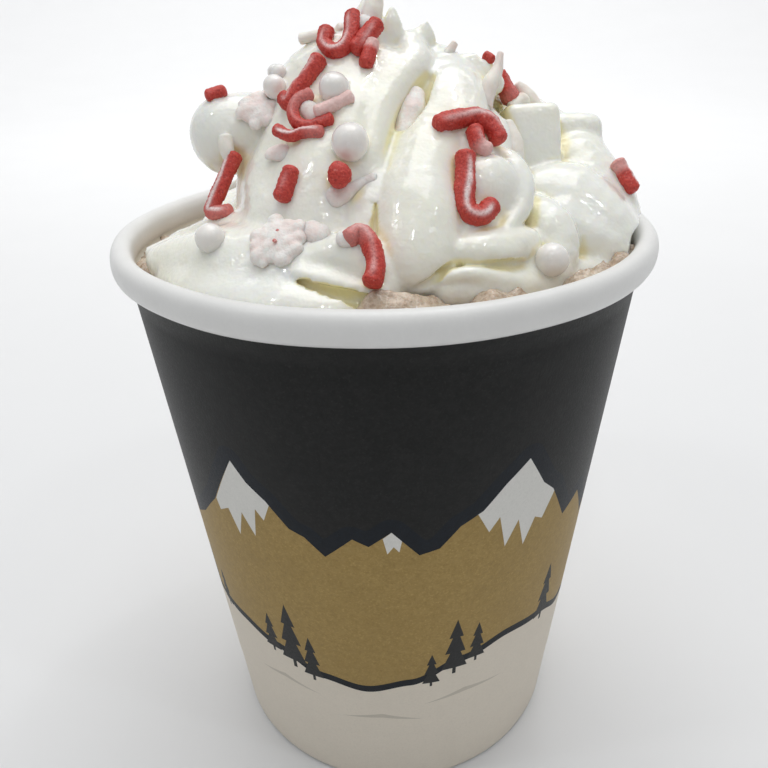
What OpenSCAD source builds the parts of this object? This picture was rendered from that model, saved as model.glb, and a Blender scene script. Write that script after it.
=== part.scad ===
// Hot chocolate in a tapered paper cup, topped with soft whipped cream.
// The origin is the middle of the cup's standing edge, +Z is up, and the
// printed front of the cup faces -Y. All lengths are in millimetres.

/* [Cup] */
// Height of the cup from its standing edge to the top of its rolled rim
cup_h = 91; // [88:1:94]
// Outer diameter over the rolled rim
rim_d = 80; // [79:0.5:82]
// Outer diameter of the side wall at the standing edge
base_d = 60; // [57:0.5:61]
// Thickness of the side wall
wall_t = 1.1; // [0.9:0.1:1.4]
// Width of the rolled rim's section
rim_w = 3.2; // [2.8:0.1:3.6]
// Height of the rolled rim's section
rim_h = 4.3; // [3.9:0.1:4.8]
// How far the rim's roll stands out past the side wall
rim_out = 1.7; // [1.4:0.1:2]

/* [Base] */
// Height of the underside of the recessed base disc
recess_h = 8; // [6:0.5:10]
// Thickness of the base disc and of its turned-down flange
disc_t = 0.6; // [0.5:0.1:0.8]
// Thickness of the side wall's edge where it is folded in over the flange
fold_t = 0.7; // [0.6:0.1:0.9]

/* [Drink] */
// Height of the drink's surface above the standing edge
drink_level = 86; // [82:0.5:86.5]

/* [Whipped cream] */
// Clearance between the cream and the inside of the cup
cream_gap = 0.4; // [0.3:0.1:1]
// Height of the point that the cream's folds are gathered round
cream_heart = 90; // [89.5:0.5:91]
// How thick the ropes of cream are, as a share of their usual thickness
rope_fat = 1; // [0.9:0.05:1.1]
// Softness of the creases between folds: higher is sharper
crease = 26; // [16:2:40]
// How far a fold's edge flows out before it meets the next fold
flow = 1.8; // [0.8:0.1:2.4]
// Steps round the cream
steps_round = 84; // [48:4:96]
// Steps from the drink up to the peak
steps_up = 40; // [24:2:44]

/* [Hidden] */

// The side wall is a straight cone: outer and inner radius at a height.
top_r = rim_d / 2 - rim_out;
slope = (top_r - base_d / 2) / cup_h;
function outer_r(z) = base_d / 2 + slope * z;
function inner_r(z) = outer_r(z) - wall_t;

// Where the rim's roll sits.
roll_r = rim_d / 2 - rim_w / 2;
roll_top = cup_h - rim_w / 2;
roll_low = cup_h - rim_h + rim_w / 2;

// The folded-in edge: the flange's slot starts just above the fold.
fold_z = 0.8;
flange_in = wall_t + disc_t;
fold_in = wall_t + disc_t + fold_t;

// Ropes of cream, each from one end through a middle to the other end, as
// [x, y, z, radius of the rope there]. The camera side is -Y.
ropes = [
    // lower folds, from the left front round to the right and the back
    [[-28, -10, 89, 2.1], [-26, -15.5, 88, 7.8], [-1, -19, 93, 5.8]],
    [[-25.5, -14, 87, 5], [-16, -24.5, 87, 8.2], [-5, -26.5, 87, 4.8]],
    [[-8, -20.5, 92.5, 4], [-1.5, -26.5, 90.5, 4.2], [1, -24, 90, 3]],
    [[6, -6.5, 105, 2], [4.5, -21, 97.5, 7.8], [4, -22, 89, 5]],
    [[7.5, -23, 89.5, 4], [13, -24, 88.5, 3.5], [21, -16.5, 88, 5]],
    [[10.5, -11, 100.5, 5], [16.5, -18, 96.5, 4.5], [8, -20, 89, 5.8]],
    [[9.5, -15.5, 94.5, 2], [18.5, -16, 94.5, 5.8], [25.5, -12.5, 88, 3.8]],
    [[20.5, -1, 96, 4.2], [25.5, -7.5, 93.5, 9], [28.5, -11.5, 87.5, 5]],
    [[32.5, -5.5, 94, 3.6], [29.5, 13.5, 91.5, 10.5], [14, 25, 92.5, 7.8]],
    [[14.5, 23, 93, 6.5], [5.5, 33, 90.5, 9], [-13.5, 20, 91.5, 6.2]],
    [[-7.5, 24.5, 89, 5.5], [-26, 16, 91.5, 6.5], [-25.5, -3.5, 88, 2.8]],
    // middle folds
    [[12.5, -5, 101.5, 4], [21.5, 0, 102, 4.2], [20.5, -0.5, 101.5, 4.2]],
    [[25.5, -1, 95, 3.8], [31.5, -1, 102, 4.2], [25, 10.5, 101, 3]],
    [[25, 7, 102, 4], [13.5, 26, 102, 8], [-1, 16, 101.5, 6.8]],
    [[5, 19.5, 100, 5.5], [-18, 16, 102.5, 6.5], [-15, -3.5, 97.5, 4.5]],
    [[-2.5, -1, 106, 6.5], [-13, -3.5, 103.5, 5.2], [-22, -3, 103.5, 4.7]],
    [[-3.5, -2, 106.5, 7.5], [-10.5, -11.5, 101, 6.8], [-7, -16.5, 89.5, 6.8]],
    [[-18, -5.5, 97.5, 1.2], [-16, -10.5, 95, 7.2], [-3.5, -15.5, 98.5, 5]],
    // upper folds and the peak
    [[6, 0, 113.5, 2.4], [0.5, -8.5, 109.5, 2.8], [-5.5, -14, 100, 5.5]],
    [[8.5, 1, 108, 4.5], [10.5, -0.5, 109, 5], [9, -11.5, 102, 5]],
    [[14, 2.5, 107.5, 3.8], [10, 15, 107.5, 6], [-2.5, 11, 108, 5.2]],
    [[0, 11, 107, 5], [-12.5, 1.5, 110, 3], [-9, -4, 108, 4.5]],
    [[1, 1.5, 110.5, 3.8], [-2, -2.5, 116, 1], [4, -0.5, 114, 1.8]],
    [[-2.5, -0.5, 104.5, 4], [-3, -2, 115, 3.5], [0, 0, 119.1, 0.9]],
    // the soft heart under the folds
    [[-9.5, 1, 87, 12.2], [-0.5, 7, 98.5, 15.8], [10.5, 5, 92, 15]],
    [[0.5, 6, 96.5, 13.5], [-2, -0.5, 103, 10], [-3.5, -1.5, 110, 6]]
];

// One ball of a rope at t from 0 to 1, on the curve its three points give.
function on_rope(k, t) =
    (1 - t) * (1 - t) * k[0] + 2 * t * (1 - t) * k[1] + t * t * k[2];
balls_per_rope = 9;
function balls() = [
    for (k = ropes, i = [0 : balls_per_rope - 1])
        let (b = on_rope(k, i / (balls_per_rope - 1)))
        [b.x, b.y, b.z - cream_heart, b[3] * rope_fat]
];

// How far a line from the heart runs along d before it leaves ball b. Past
// the ball's edge the reach falls off softly over the length called flow.
function reach(b, d) =
    let (c = [b.x, b.y, b.z], along = c * d, off = sqrt(max(0, c * c - along * along)),
         miss = max(0, off - b[3]) / flow)
    along <= 0 ? 0
    : along * exp(-miss * miss) + sqrt(max(0, b[3] * b[3] - off * off));

// The soft greatest of all the reaches: where two are nearly the same, the
// result is a little more than either, which fillets the crease between them.
function soft_max(v) =
    let (m = max(v))
    m * pow([for (x = v) x > 0.6 * m ? pow(x / m, crease) : 0] * [for (x = v) 1], 1 / crease);

// The cream stays clear of the cup up to the rim and may lean out above it.
function room(z) = z < cup_h + 1 ? inner_r(drink_level) - cream_gap
    : min(rim_d / 2, inner_r(drink_level) - cream_gap + (z - cup_h - 1) * 0.8);

// Lowest ring of the cream, as an angle below level, and the angles above it.
low_angle = -8;
function ring_angle(j) = low_angle + (86 - low_angle) * pow(j / (steps_up - 1), 0.92);

function cream_point(bs, j, i) =
    let (a = 360 * (i + (j % 2) * 0.5) / steps_round, e = ring_angle(j),
         d = [cos(e) * cos(a), cos(e) * sin(a), sin(e)],
         t = soft_max([for (b = bs) reach(b, d)]) ,
         z = cream_heart + t * d.z,
         flat = min(t * cos(e), room(z)))
    j == 0 ? [flat * cos(a), flat * sin(a), drink_level]
    : [flat * cos(a), flat * sin(a), max(drink_level + 0.15 * j, cream_heart + min(t, flat / cos(e)) * d.z)];

module cup_wall() {
    color([0.17, 0.17, 0.17])
    rotate_extrude($fn = 160) {
        difference() {
            union() {
                polygon([
                    [outer_r(0), 0], [outer_r(roll_low), roll_low],
                    [inner_r(roll_low), roll_low],
                    [inner_r(recess_h + disc_t), recess_h + disc_t],
                    [outer_r(recess_h + disc_t) - fold_in, recess_h + disc_t - disc_t],
                    [outer_r(0) - fold_in, 0]
                ]);
                // the rim's roll
                translate([roll_r, roll_top]) circle(d = rim_w, $fn = 48);
                translate([roll_r, roll_low]) circle(d = rim_w, $fn = 48);
                translate([rim_d / 2 - rim_w, roll_low]) square([rim_w, roll_top - roll_low]);
            }
            // slot that the base disc's flange is folded into
            polygon([
                [inner_r(fold_z), fold_z],
                [inner_r(recess_h + disc_t), recess_h + disc_t],
                [inner_r(recess_h + disc_t) - 5, recess_h + disc_t],
                [inner_r(recess_h + disc_t) - 5, recess_h],
                [outer_r(recess_h) - flange_in, recess_h],
                [outer_r(fold_z) - flange_in, fold_z]
            ]);
        }
    }
}

module cup_base() {
    color([0.9, 0.88, 0.84])
    rotate_extrude($fn = 160)
        polygon([
            [0, recess_h], [outer_r(recess_h) - flange_in, recess_h],
            [outer_r(fold_z) - flange_in, fold_z], [inner_r(fold_z), fold_z],
            [inner_r(recess_h + disc_t), recess_h + disc_t], [0, recess_h + disc_t]
        ]);
}

module hot_chocolate() {
    color([0.42, 0.28, 0.2])
    rotate_extrude($fn = 160)
        polygon([
            [0, recess_h + disc_t], [inner_r(recess_h + disc_t), recess_h + disc_t],
            [inner_r(drink_level), drink_level], [0, drink_level]
        ]);
}

module whipped_cream() {
    bs = balls();
    n = steps_round;
    rings = [for (j = [0 : steps_up - 1], i = [0 : n - 1]) cream_point(bs, j, i)];
    peak = [0, 0, cream_heart + soft_max([for (b = bs) reach(b, [0, 0, 1])])];
    last = (steps_up - 1) * n;
    color([0.96, 0.94, 0.86])
    polyhedron(
        points = concat(rings, [peak, [0, 0, drink_level]]),
        faces = concat(
            [for (j = [0 : steps_up - 2], i = [0 : n - 1])
                let (k = (i + 1) % n, a = j * n + i, b = j * n + k, c = a + n, e = b + n)
                j % 2 == 0 ? [a, c, b] : [a, c, e]],
            [for (j = [0 : steps_up - 2], i = [0 : n - 1])
                let (k = (i + 1) % n, a = j * n + i, b = j * n + k, c = a + n, e = b + n)
                j % 2 == 0 ? [b, c, e] : [a, e, b]],
            [for (i = [0 : n - 1]) [last + i, steps_up * n, last + (i + 1) % n]],
            [for (i = [0 : n - 1]) [(i + 1) % n, steps_up * n + 1, i]]
        )
    );
}

cup_wall();
cup_base();
hot_chocolate();
whipped_cream();
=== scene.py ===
import math
import bmesh
import bpy
import numpy as np
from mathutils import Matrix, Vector, geometry
from mathutils.bvhtree import BVHTree


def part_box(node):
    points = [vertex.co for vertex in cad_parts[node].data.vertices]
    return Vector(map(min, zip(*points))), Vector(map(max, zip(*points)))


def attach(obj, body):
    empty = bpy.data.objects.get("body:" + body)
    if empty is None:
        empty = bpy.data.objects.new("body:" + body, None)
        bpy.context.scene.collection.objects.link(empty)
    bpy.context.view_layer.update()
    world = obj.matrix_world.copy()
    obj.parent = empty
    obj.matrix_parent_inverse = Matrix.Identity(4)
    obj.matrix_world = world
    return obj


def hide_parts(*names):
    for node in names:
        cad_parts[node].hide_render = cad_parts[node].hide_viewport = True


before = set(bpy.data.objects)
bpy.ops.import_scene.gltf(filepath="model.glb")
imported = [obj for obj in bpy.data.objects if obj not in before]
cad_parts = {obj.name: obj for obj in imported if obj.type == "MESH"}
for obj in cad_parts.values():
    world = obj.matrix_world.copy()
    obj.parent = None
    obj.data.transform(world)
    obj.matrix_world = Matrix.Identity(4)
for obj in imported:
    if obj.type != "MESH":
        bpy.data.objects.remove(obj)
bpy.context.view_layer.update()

MM = 0.001

# ---------------------------------------------------------------- the frame
drink_lo, drink_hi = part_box("hot_chocolate")
wall_lo, wall_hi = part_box("cup_wall")
LEVEL = drink_hi[2] / MM            # height of the drink's surface, mm
CUP_H = wall_hi[2] / MM             # top of the rolled rim
RIM_R = wall_hi[0] / MM             # outer radius over the rim
BASE_R = 30.0                       # outer radius at the standing edge
TOP_R = RIM_R - 1.7
SLOPE = (TOP_R - BASE_R) / CUP_H
WALL_T = 1.1


def outer_r(z):
    return BASE_R + SLOPE * z


def inner_r(z):
    return outer_r(z) - WALL_T


# ------------------------------------------------------------------ camera
cam_data = bpy.data.cameras.new("camera")
cam = bpy.data.objects.new("camera", cam_data)
bpy.context.scene.collection.objects.link(cam)
bpy.context.scene.camera = cam
cam_data.sensor_width = 36.0
cam_data.lens = 33.46
cam_data.shift_x = -0.0048
cam_data.clip_start = 0.005
cam_data.clip_end = 20.0
ELEV, ROLL, DIST, AIM = math.radians(27.533), math.radians(-1.463), 122.37, 62.12
back = Vector((0, -math.cos(ELEV), math.sin(ELEV)))
right0 = Vector((1, 0, 0))
up0 = right0.cross(-back)
right = right0 * math.cos(ROLL) + up0 * math.sin(ROLL)
up = up0 * math.cos(ROLL) - right0 * math.sin(ROLL)
eye = Vector((0, 0, AIM)) + back * DIST
from mathutils import Matrix
m = Matrix.Identity(4)
for i in range(3):
    m[i][0], m[i][1], m[i][2], m[i][3] = right[i], up[i], back[i], eye[i] * MM
cam.matrix_world = m


# --------------------------------------------------------------- clay in mm
class Clay:
    """A block of distances to a surface, built up by soft unions."""

    def __init__(self, lo, hi, h):
        self.lo = np.array(lo, float)
        self.h = h
        self.n = [int(math.ceil((b - a) / h)) + 1 for a, b in zip(lo, hi)]
        self.d = np.full(self.n, 12.0, np.float32)
        ax = [self.lo[i] + h * np.arange(self.n[i]) for i in range(3)]
        self.x, self.y, self.z = [a.astype(np.float32) for a in np.meshgrid(*ax, indexing="ij")]

    def window(self, lo, hi):
        s = []
        for i in range(3):
            a = max(0, int((lo[i] - self.lo[i]) / self.h))
            b = min(self.n[i], int((hi[i] - self.lo[i]) / self.h) + 2)
            s.append(slice(a, max(a + 1, b)))
        return tuple(s)

    def join(self, s, d, k):
        a = self.d[s]
        if k <= 0:
            self.d[s] = np.minimum(a, d)
            return
        t = np.maximum(k - np.abs(a - d), 0) / k
        self.d[s] = np.minimum(a, d) - t * t * t * (k / 6.0)

    def cut(self, s, d, k):
        a = self.d[s]
        b = -d
        t = np.maximum(k - np.abs(a - b), 0) / k
        self.d[s] = np.maximum(a, b) + t * t * t * (k / 6.0)


def noise_block(n, h, wave, seed):
    """Smooth noise from -1 to 1 with the given wavelength in mm."""
    rng = np.random.default_rng(seed)
    m = [int(k * h / wave) + 4 for k in n]
    g = rng.uniform(-1, 1, m)
    for axis in range(3):
        t = np.arange(n[axis]) * h / wave
        i = t.astype(int)
        f = t - i
        w = [(1 - f) ** 3 / 6, (3 * f ** 3 - 6 * f ** 2 + 4) / 6,
             (-3 * f ** 3 + 3 * f ** 2 + 3 * f + 1) / 6, f ** 3 / 6]
        shape = [1, 1, 1]
        shape[axis] = -1
        g = sum(np.take(g, i + j, axis=axis) * w[j].reshape(shape) for j in range(4))
    return (g * 1.7).astype(np.float32)


def smooth_path(pts, n):
    """Catmull-Rom curve through points of any number of columns."""
    p = np.array(pts, float)
    if len(p) == 2:
        t = np.linspace(0, 1, n)[:, None]
        return p[0] * (1 - t) + p[1] * t
    p = np.vstack([2 * p[0] - p[1], p, 2 * p[-1] - p[-2]])
    seg = len(p) - 3
    out = []
    for t in np.linspace(0, seg, n):
        i = min(int(t), seg - 1)
        f = t - i
        a, b, c, d = p[i:i + 4]
        out.append(0.5 * ((2 * b) + (c - a) * f + (2 * a - 5 * b + 4 * c - d) * f * f
                          + (3 * b - a - 3 * c + d) * f ** 3))
    return np.array(out)


def rope(clay, pts, k=0.9, flat=1.0, face=(0, 0, 1), ridges=0, deep=0.0, twist=0.0, cut=False):
    """A rope of cream through pts = (x, y, z, r). flat > 1 thins it along
    face; ridges, deep and twist give it the flutes of a star nozzle."""
    length = sum(math.dist(a[:3], b[:3]) for a, b in zip(pts, pts[1:]))
    n = max(6, min(30, int(length / 1.4)))
    c = smooth_path(pts, n)
    c[:, 3] = np.maximum(c[:, 3], 0.25)
    reach = c[:, 3].max() * 1.15 + 2.5
    s = clay.window(c[:, :3].min(0) - reach, c[:, :3].max(0) + reach)
    X, Y, Z = clay.x[s], clay.y[s], clay.z[s]
    if X.size == 0:
        return
    tang = np.gradient(c[:, :3], axis=0)
    tang /= np.linalg.norm(tang, axis=1)[:, None] + 1e-9
    f = np.array(face, float)
    u = f - (tang @ f)[:, None] * tang
    u /= np.linalg.norm(u, axis=1)[:, None] + 1e-9
    w = np.cross(tang, u)
    best = None
    run = 0.0
    for i in range(n - 1):
        a, b = c[i], c[i + 1]
        ab = b[:3] - a[:3]
        L2 = float(ab @ ab) + 1e-9
        qx, qy, qz = X - a[0], Y - a[1], Z - a[2]
        t = np.clip((qx * ab[0] + qy * ab[1] + qz * ab[2]) / L2, 0, 1)
        qx, qy, qz = qx - t * ab[0], qy - t * ab[1], qz - t * ab[2]
        r = a[3] + t * (b[3] - a[3])
        if flat != 1.0 or ridges:
            uu, ww = u[i], w[i]
            du = qx * uu[0] + qy * uu[1] + qz * uu[2]
            if ridges:
                dw = qx * ww[0] + qy * ww[1] + qz * ww[2]
                ang = np.arctan2(dw, du)
                r = r * (1 + deep * np.cos(ridges * ang + twist * (run + t * math.sqrt(L2))))
            q2 = qx * qx + qy * qy + qz * qz
            d = np.sqrt(q2 + (flat * flat - 1) * du * du) - r
            if flat != 1.0:
                d = d / (1 + (flat - 1) * 0.5)
        else:
            d = np.sqrt(qx * qx + qy * qy + qz * qz) - r
        run += math.sqrt(L2)
        best = d if best is None else np.minimum(best, d)
    (clay.cut if cut else clay.join)(s, best, k)


def slab(clay, centre, size, x_to, z_to, soft=1.2, k=0.8, bend=0.0):
    """A soft-edged block: size along its own x, y, z; x_to and z_to aim it."""
    c = np.array(centre, float)
    ex = np.array(x_to, float)
    ex /= np.linalg.norm(ex)
    ez = np.array(z_to, float)
    ez -= (ez @ ex) * ex
    ez /= np.linalg.norm(ez)
    ey = np.cross(ez, ex)
    reach = np.linalg.norm(size) / 2 + 2.5
    s = clay.window(c - reach, c + reach)
    X, Y, Z = clay.x[s] - c[0], clay.y[s] - c[1], clay.z[s] - c[2]
    a = [X * e[0] + Y * e[1] + Z * e[2] for e in (ex, ey, ez)]
    a[1] = a[1] + bend * a[0] * a[0]
    q = [np.abs(v) - (sz / 2 - soft) for v, sz in zip(a, size)]
    out = np.sqrt(sum(np.maximum(v, 0) ** 2 for v in q))
    ins = np.minimum(np.maximum(np.maximum(q[0], q[1]), q[2]), 0)
    clay.join(s, out + ins - soft, k)


def egg(clay, centre, radii, k=1.5, turn=0.0, cut=False):
    c = np.array(centre, float)
    reach = max(radii) + 2.5
    s = clay.window(c - reach, c + reach)
    X, Y, Z = clay.x[s] - c[0], clay.y[s] - c[1], clay.z[s] - c[2]
    if turn:
        ct, st = math.cos(math.radians(turn)), math.sin(math.radians(turn))
        X, Y = X * ct + Y * st, -X * st + Y * ct
    q = np.sqrt((X / radii[0]) ** 2 + (Y / radii[1]) ** 2 + (Z / radii[2]) ** 2) + 1e-6
    g = np.sqrt((X / radii[0] ** 2) ** 2 + (Y / radii[1] ** 2) ** 2 + (Z / radii[2] ** 2) ** 2) + 1e-6
    d = q * (q - 1) / g
    (clay.cut if cut else clay.join)(s, d.astype(np.float32), k)


def clay_mesh(clay, name, adaptivity=0.0, keep_largest=True):
    import openvdb as vdb
    g = vdb.FloatGrid(background=3.0)
    g.copyFromArray(np.clip(clay.d, -3, 3).astype(np.float32))
    pts, tris, quads = g.convertToPolygons(isovalue=0.0, adaptivity=adaptivity)
    pts = np.asarray(pts, float) * clay.h + clay.lo
    faces = [tuple(int(v) for v in q[::-1]) for q in quads] + [tuple(int(v) for v in t[::-1]) for t in tris]
    me = bpy.data.meshes.new(name)
    me.from_pydata([tuple(p * MM) for p in pts], [], faces)
    me.update()
    bm = bmesh.new()
    bm.from_mesh(me)
    if keep_largest:
        bm.verts.ensure_lookup_table()
        seen = np.zeros(len(bm.verts), int) - 1
        groups = []
        for v in bm.verts:
            if seen[v.index] >= 0:
                continue
            stack, mine = [v], []
            seen[v.index] = len(groups)
            while stack:
                x = stack.pop()
                mine.append(x)
                for e in x.link_edges:
                    o = e.other_vert(x)
                    if seen[o.index] < 0:
                        seen[o.index] = len(groups)
                        stack.append(o)
            groups.append(mine)
        big = max(groups, key=len)
        gone = [v for gr in groups if gr is not big for v in gr]
        if gone:
            bmesh.ops.delete(bm, geom=gone, context="VERTS")
    bmesh.ops.recalc_face_normals(bm, faces=bm.faces)
    bm.to_mesh(me)
    bm.free()
    me.polygons.foreach_set("use_smooth", np.ones(len(me.polygons), bool))
    ob = bpy.data.objects.new(name, me)
    bpy.context.scene.collection.objects.link(ob)
    return ob


def sample(clay, p):
    """Distance at points p (mm), by linear interpolation."""
    q = (p - clay.lo) / clay.h
    for i in range(3):
        q[:, i] = np.clip(q[:, i], 0, clay.n[i] - 1.001)
    i = q.astype(int)
    f = q - i
    out = 0
    for dx in (0, 1):
        for dy in (0, 1):
            for dz in (0, 1):
                w = (f[:, 0] if dx else 1 - f[:, 0]) * (f[:, 1] if dy else 1 - f[:, 1]) * (f[:, 2] if dz else 1 - f[:, 2])
                out = out + w * clay.d[i[:, 0] + dx, i[:, 1] + dy, i[:, 2] + dz]
    return out


# --------------------------------------------------------------- sprinkles
# Centre lines in mm, heights as in the cream's table. Each cane: points,
# radius, the way it faces, how much white streak, pink at its start and end.
CANES = [
    ([(-6.8, -3.5, 116.4), (-7, -4.9, 114.9), (-5.9, -5.9, 114.1), (-4.6, -5.9, 114.4), (-3.6, -4.6, 116), (-3.3, -2.6, 118.2)], 1, (-0.3, -0.5, 0.8), 0.5, 0, 0),
    ([(-0.3, -4.1, 117.1), (-1.7, -5.2, 115.6), (-3, -6.3, 114.3)], 1.12, (0.2, -0.8, 0.5), 0.2, 0, 0),
    ([(-0.9, -5.8, 114.4), (-1.4, -6.9, 113.2), (-1.8, -7.8, 112.2)], 0.98, (0.5, -0.6, 0.6), 0.0, 0.8, 0),
    ([(-7.8, -7, 113.3), (-9, -8, 111.7), (-10.5, -8.9, 110), (-11.7, -9.8, 108.4), (-12.4, -9.0, 109.0)], 1.08, (-0.5, -0.5, 0.7), 0.35, 0, 0),
    ([(-8.6, -11.6, 109.3), (-10.1, -11.8, 108.7), (-10.8, -12.6, 107.5), (-10.3, -13.7, 106.3), (-8.6, -14.6, 105.9), (-7.1, -14.7, 106.4), (-6, -14.7, 106.7)], 0.76, (-0.4, -0.6, 0.7), 0.1, 0.25, 0),
    ([(-12.8, -13.8, 105.4), (-11, -14.9, 104.8), (-9.1, -15.1, 105.2), (-7.1, -15.7, 105.3)], 0.72, (-0.4, -0.6, 0.7), 0.9, 0, 0.2),
    ([(-7.6, -14.1, 107.4), (-5.7, -13.5, 108.1), (-3.6, -12.8, 108.9)], 0.85, (0, -0.6, 0.8), 0.3, 1.0, 1.0),
    ([(-23.2, -4.4, 109), (-21.3, -4, 109.5)], 0.92, (-0.2, 0, 1), 0.1, 0, 0),
    ([(-19.7, -9.0, 101.9), (-21.3, -10.5, 98.9), (-22.7, -11.5, 96.4), (-23.1, -12.0, 95.3), (-21.9, -12.6, 95.2), (-20.6, -13.0, 95.4)], 1, (-0.5, -0.5, 0.7), 1.0, 0, 0.2),
    ([(-11.1, -18.7, 101.6), (-11.7, -19.4, 100.1), (-12.3, -20.1, 98.8)], 1.15, (-0.5, -0.7, 0.5), 0.12, 0, 0),
    ([(-5.5, -18.8, 100.2), (-5.3, -20.6, 100.8)], 1.42, (0.2, -0.9, 0.4), 0.0, 0, 0),
    ([(-4.0, -27.0, 95.4), (-2.9, -26.5, 95.9), (-1.8, -27.2, 95.1), (-1.1, -28.7, 93.5), (-1.1, -30, 92.3), (-1.5, -30.9, 91.4)], 1.2, (0.1, -0.6, 0.8), 0.25, 0.3, 0),
    ([(7, -14.9, 105.8), (9.6, -13.8, 106.2), (12, -13.1, 106.2), (13.7, -13.4, 105.2), (14.6, -14.4, 103.8)], 1.24, (0.4, -0.6, 0.7), 0.45, 0, 0),
    ([(11.6, -15.2, 105.2), (11.9, -16.5, 103.9), (12.9, -16.9, 103.1)], 1.1, (0.3, -0.7, 0.7), 0.2, 0, 0.8),
    ([(10.2, -18.6, 102.9), (10.1, -20.1, 100.8), (9.9, -21.9, 98.3), (10.4, -22.8, 97), (11.9, -22.8, 96.7), (13.2, -21.9, 97.6)], 1.2, (0.2, -0.75, 0.65), 0.8, 0, 0),
    ([(17.5, 0.5, 111.3), (18.4, 0, 109.8), (19.3, -0.5, 108.4)], 1.28, (0.65, -0.3, 0.7), 0.1, 0, 0.2),
    ([(14.6, -1.6, 113.2), (15.3, -2.2, 112.7)], 0.65, (0.4, 0, 0.9), 0.0, 0, 0),
    ([(33.1, -5.3, 98.8), (33.9, -6.3, 97.3), (34.8, -7.3, 95.7)], 1.12, (0.6, -0.5, 0.65), 0.9, 0.5, 0),
    ([(-12.7, -24.3, 95.8), (-12.5, -24.5, 95.7)], 0.28, (-0.2, -0.5, 0.85), 0, 0.55, 0.55),
    ([(-13.0, -25.8, 95.1), (-12.8, -25.95, 95.0)], 0.24, (-0.2, -0.5, 0.85), 0, 0.55, 0.55),
]
# the hooked cane's own outline, for the ones on the far side
HOOK = [(-4.4, 0.0), (-2.2, 0.15), (0.2, 0.0), (2.4, 0.1), (4.0, 0.9), (4.3, 2.3), (3.4, 3.3)]
# far side: (degrees from the front, height, turn, radius, streak, pink)
FAR_CANES = [(150, 100, 35, 1.15, 0.7, 0), (196, 107, -60, 1.1, 0.3, 0), (131, 97.5, 25, 1.2, 0.9, 0.3), (228, 95.5, -20, 1.12, 0.5, 0), (172, 92, 120, 1.18, 0.2, 0), (222, 102.5, 60, 1.08, 0.8, 0), (160, 109.5, -40, 1.05, 0.4, 0)]
# sugar pearls: centre, radius
PEARLS = [((-5.8, -12, 110.6), 2.0), ((-3.8, -18.2, 104.8), 2.42), ((-21.9, -21.6, 95), 1.88), ((-14.1, -6.2, 110.3), 1.52), ((-15.0, -4.2, 112.9), 1.05), ((-13.6, -4.7, 112.0), 1.1), ((20.8, -22.3, 90.6), 2.15)]
FAR_PEARLS = [(168, 104.5, 1.9), (212, 99, 2.3), (138, 91, 2.0), (190, 96, 1.8), (204, 90.5, 2.1), (128, 103, 1.7), (182, 111.5, 1.6)]
# white and cream sugar sticks: points with radii, facing, pink
RODS = [
    ([(-10.5, -1.6, 115.7, 0.72), (-8.3, -2, 116.0, 0.85), (-6.1, -2.8, 116.0, 0.82)], (-0.4, 0, 0.9), 0.05),
    ([(-5.6, -1.0, 116.0, 0.8), (-4.9, -1.5, 117.0, 0.75)], (-0.3, 0, 0.9), 0.1),
    ([(-1.3, -2.4, 117.4, 1.3), (-0.6, -1.6, 119.2, 1.25), (-0.3, -0.9, 120.9, 1.1)], (0.7, -0.5, 0.5), 0.35),
    ([(17.0, -6.3, 104.6, 1.2), (17.8, -8.2, 101.9, 1.45), (17.9, -9.8, 99.6, 1.25)], (0.2, -0.9, 0.3), 0.0),
    ([(8.5, -2.2, 112.0, 0.7), (9.5, -1.4, 113.6, 0.7), (10.3, -1.1, 114.7, 0.45)], (0.2, -0.2, 1), 0.8),
    ([(16.3, -3.0, 113.4, 0.42), (15.8, -4.0, 111.4, 0.8), (14.6, -5.5, 109.4, 1.12), (13.9, -7.0, 107.2, 1.0)], (0.8, -0.3, 0.6), 0.75),
    ([(19.6, 2.0, 108.9, 0.7), (21.2, 1.5, 107.3, 1.2), (22.6, 1.0, 105.6, 1.15)], (0.6, 0, 0.8), 0.45),
    ([(18.6, -1.2, 106.2, 1.0), (20.4, -0.4, 107.2, 1.1)], (0, -0.4, 0.9), 0.0),
    ([(-20.9, -8.0, 104.2, 1.0), (-20.8, -8.7, 102.9, 0.95), (-20.5, -9.1, 101.4, 0.7)], (0, -1, 0), 0.0),
]
FAR_RODS = [(186, 114, 30, 0.8, 0.2), (216, 108, -50, 0.9, 0.8), (140, 105, 100, 1.1, 0.0), (122, 90, 10, 1.0, 0.5), (236, 92, 75, 1.0, 0.1)]
# pressed snowflakes: centre, facing, radius, spin, thickness
FLAKES = [((-16.4, -6.9, 107.3), (0.05, -0.72, 0.7), 2.9, 12, 1.05), ((-12.5, -24.2, 94.4), (-0.2, -0.6, 0.77), 3.7, 47, 1.3)]
FAR_FLAKES = [(178, 101, 3.0, 15), (132, 98, 3.3, 50), (226, 89, 3.2, 5), (212, 93, 2.9, 33)]
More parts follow.
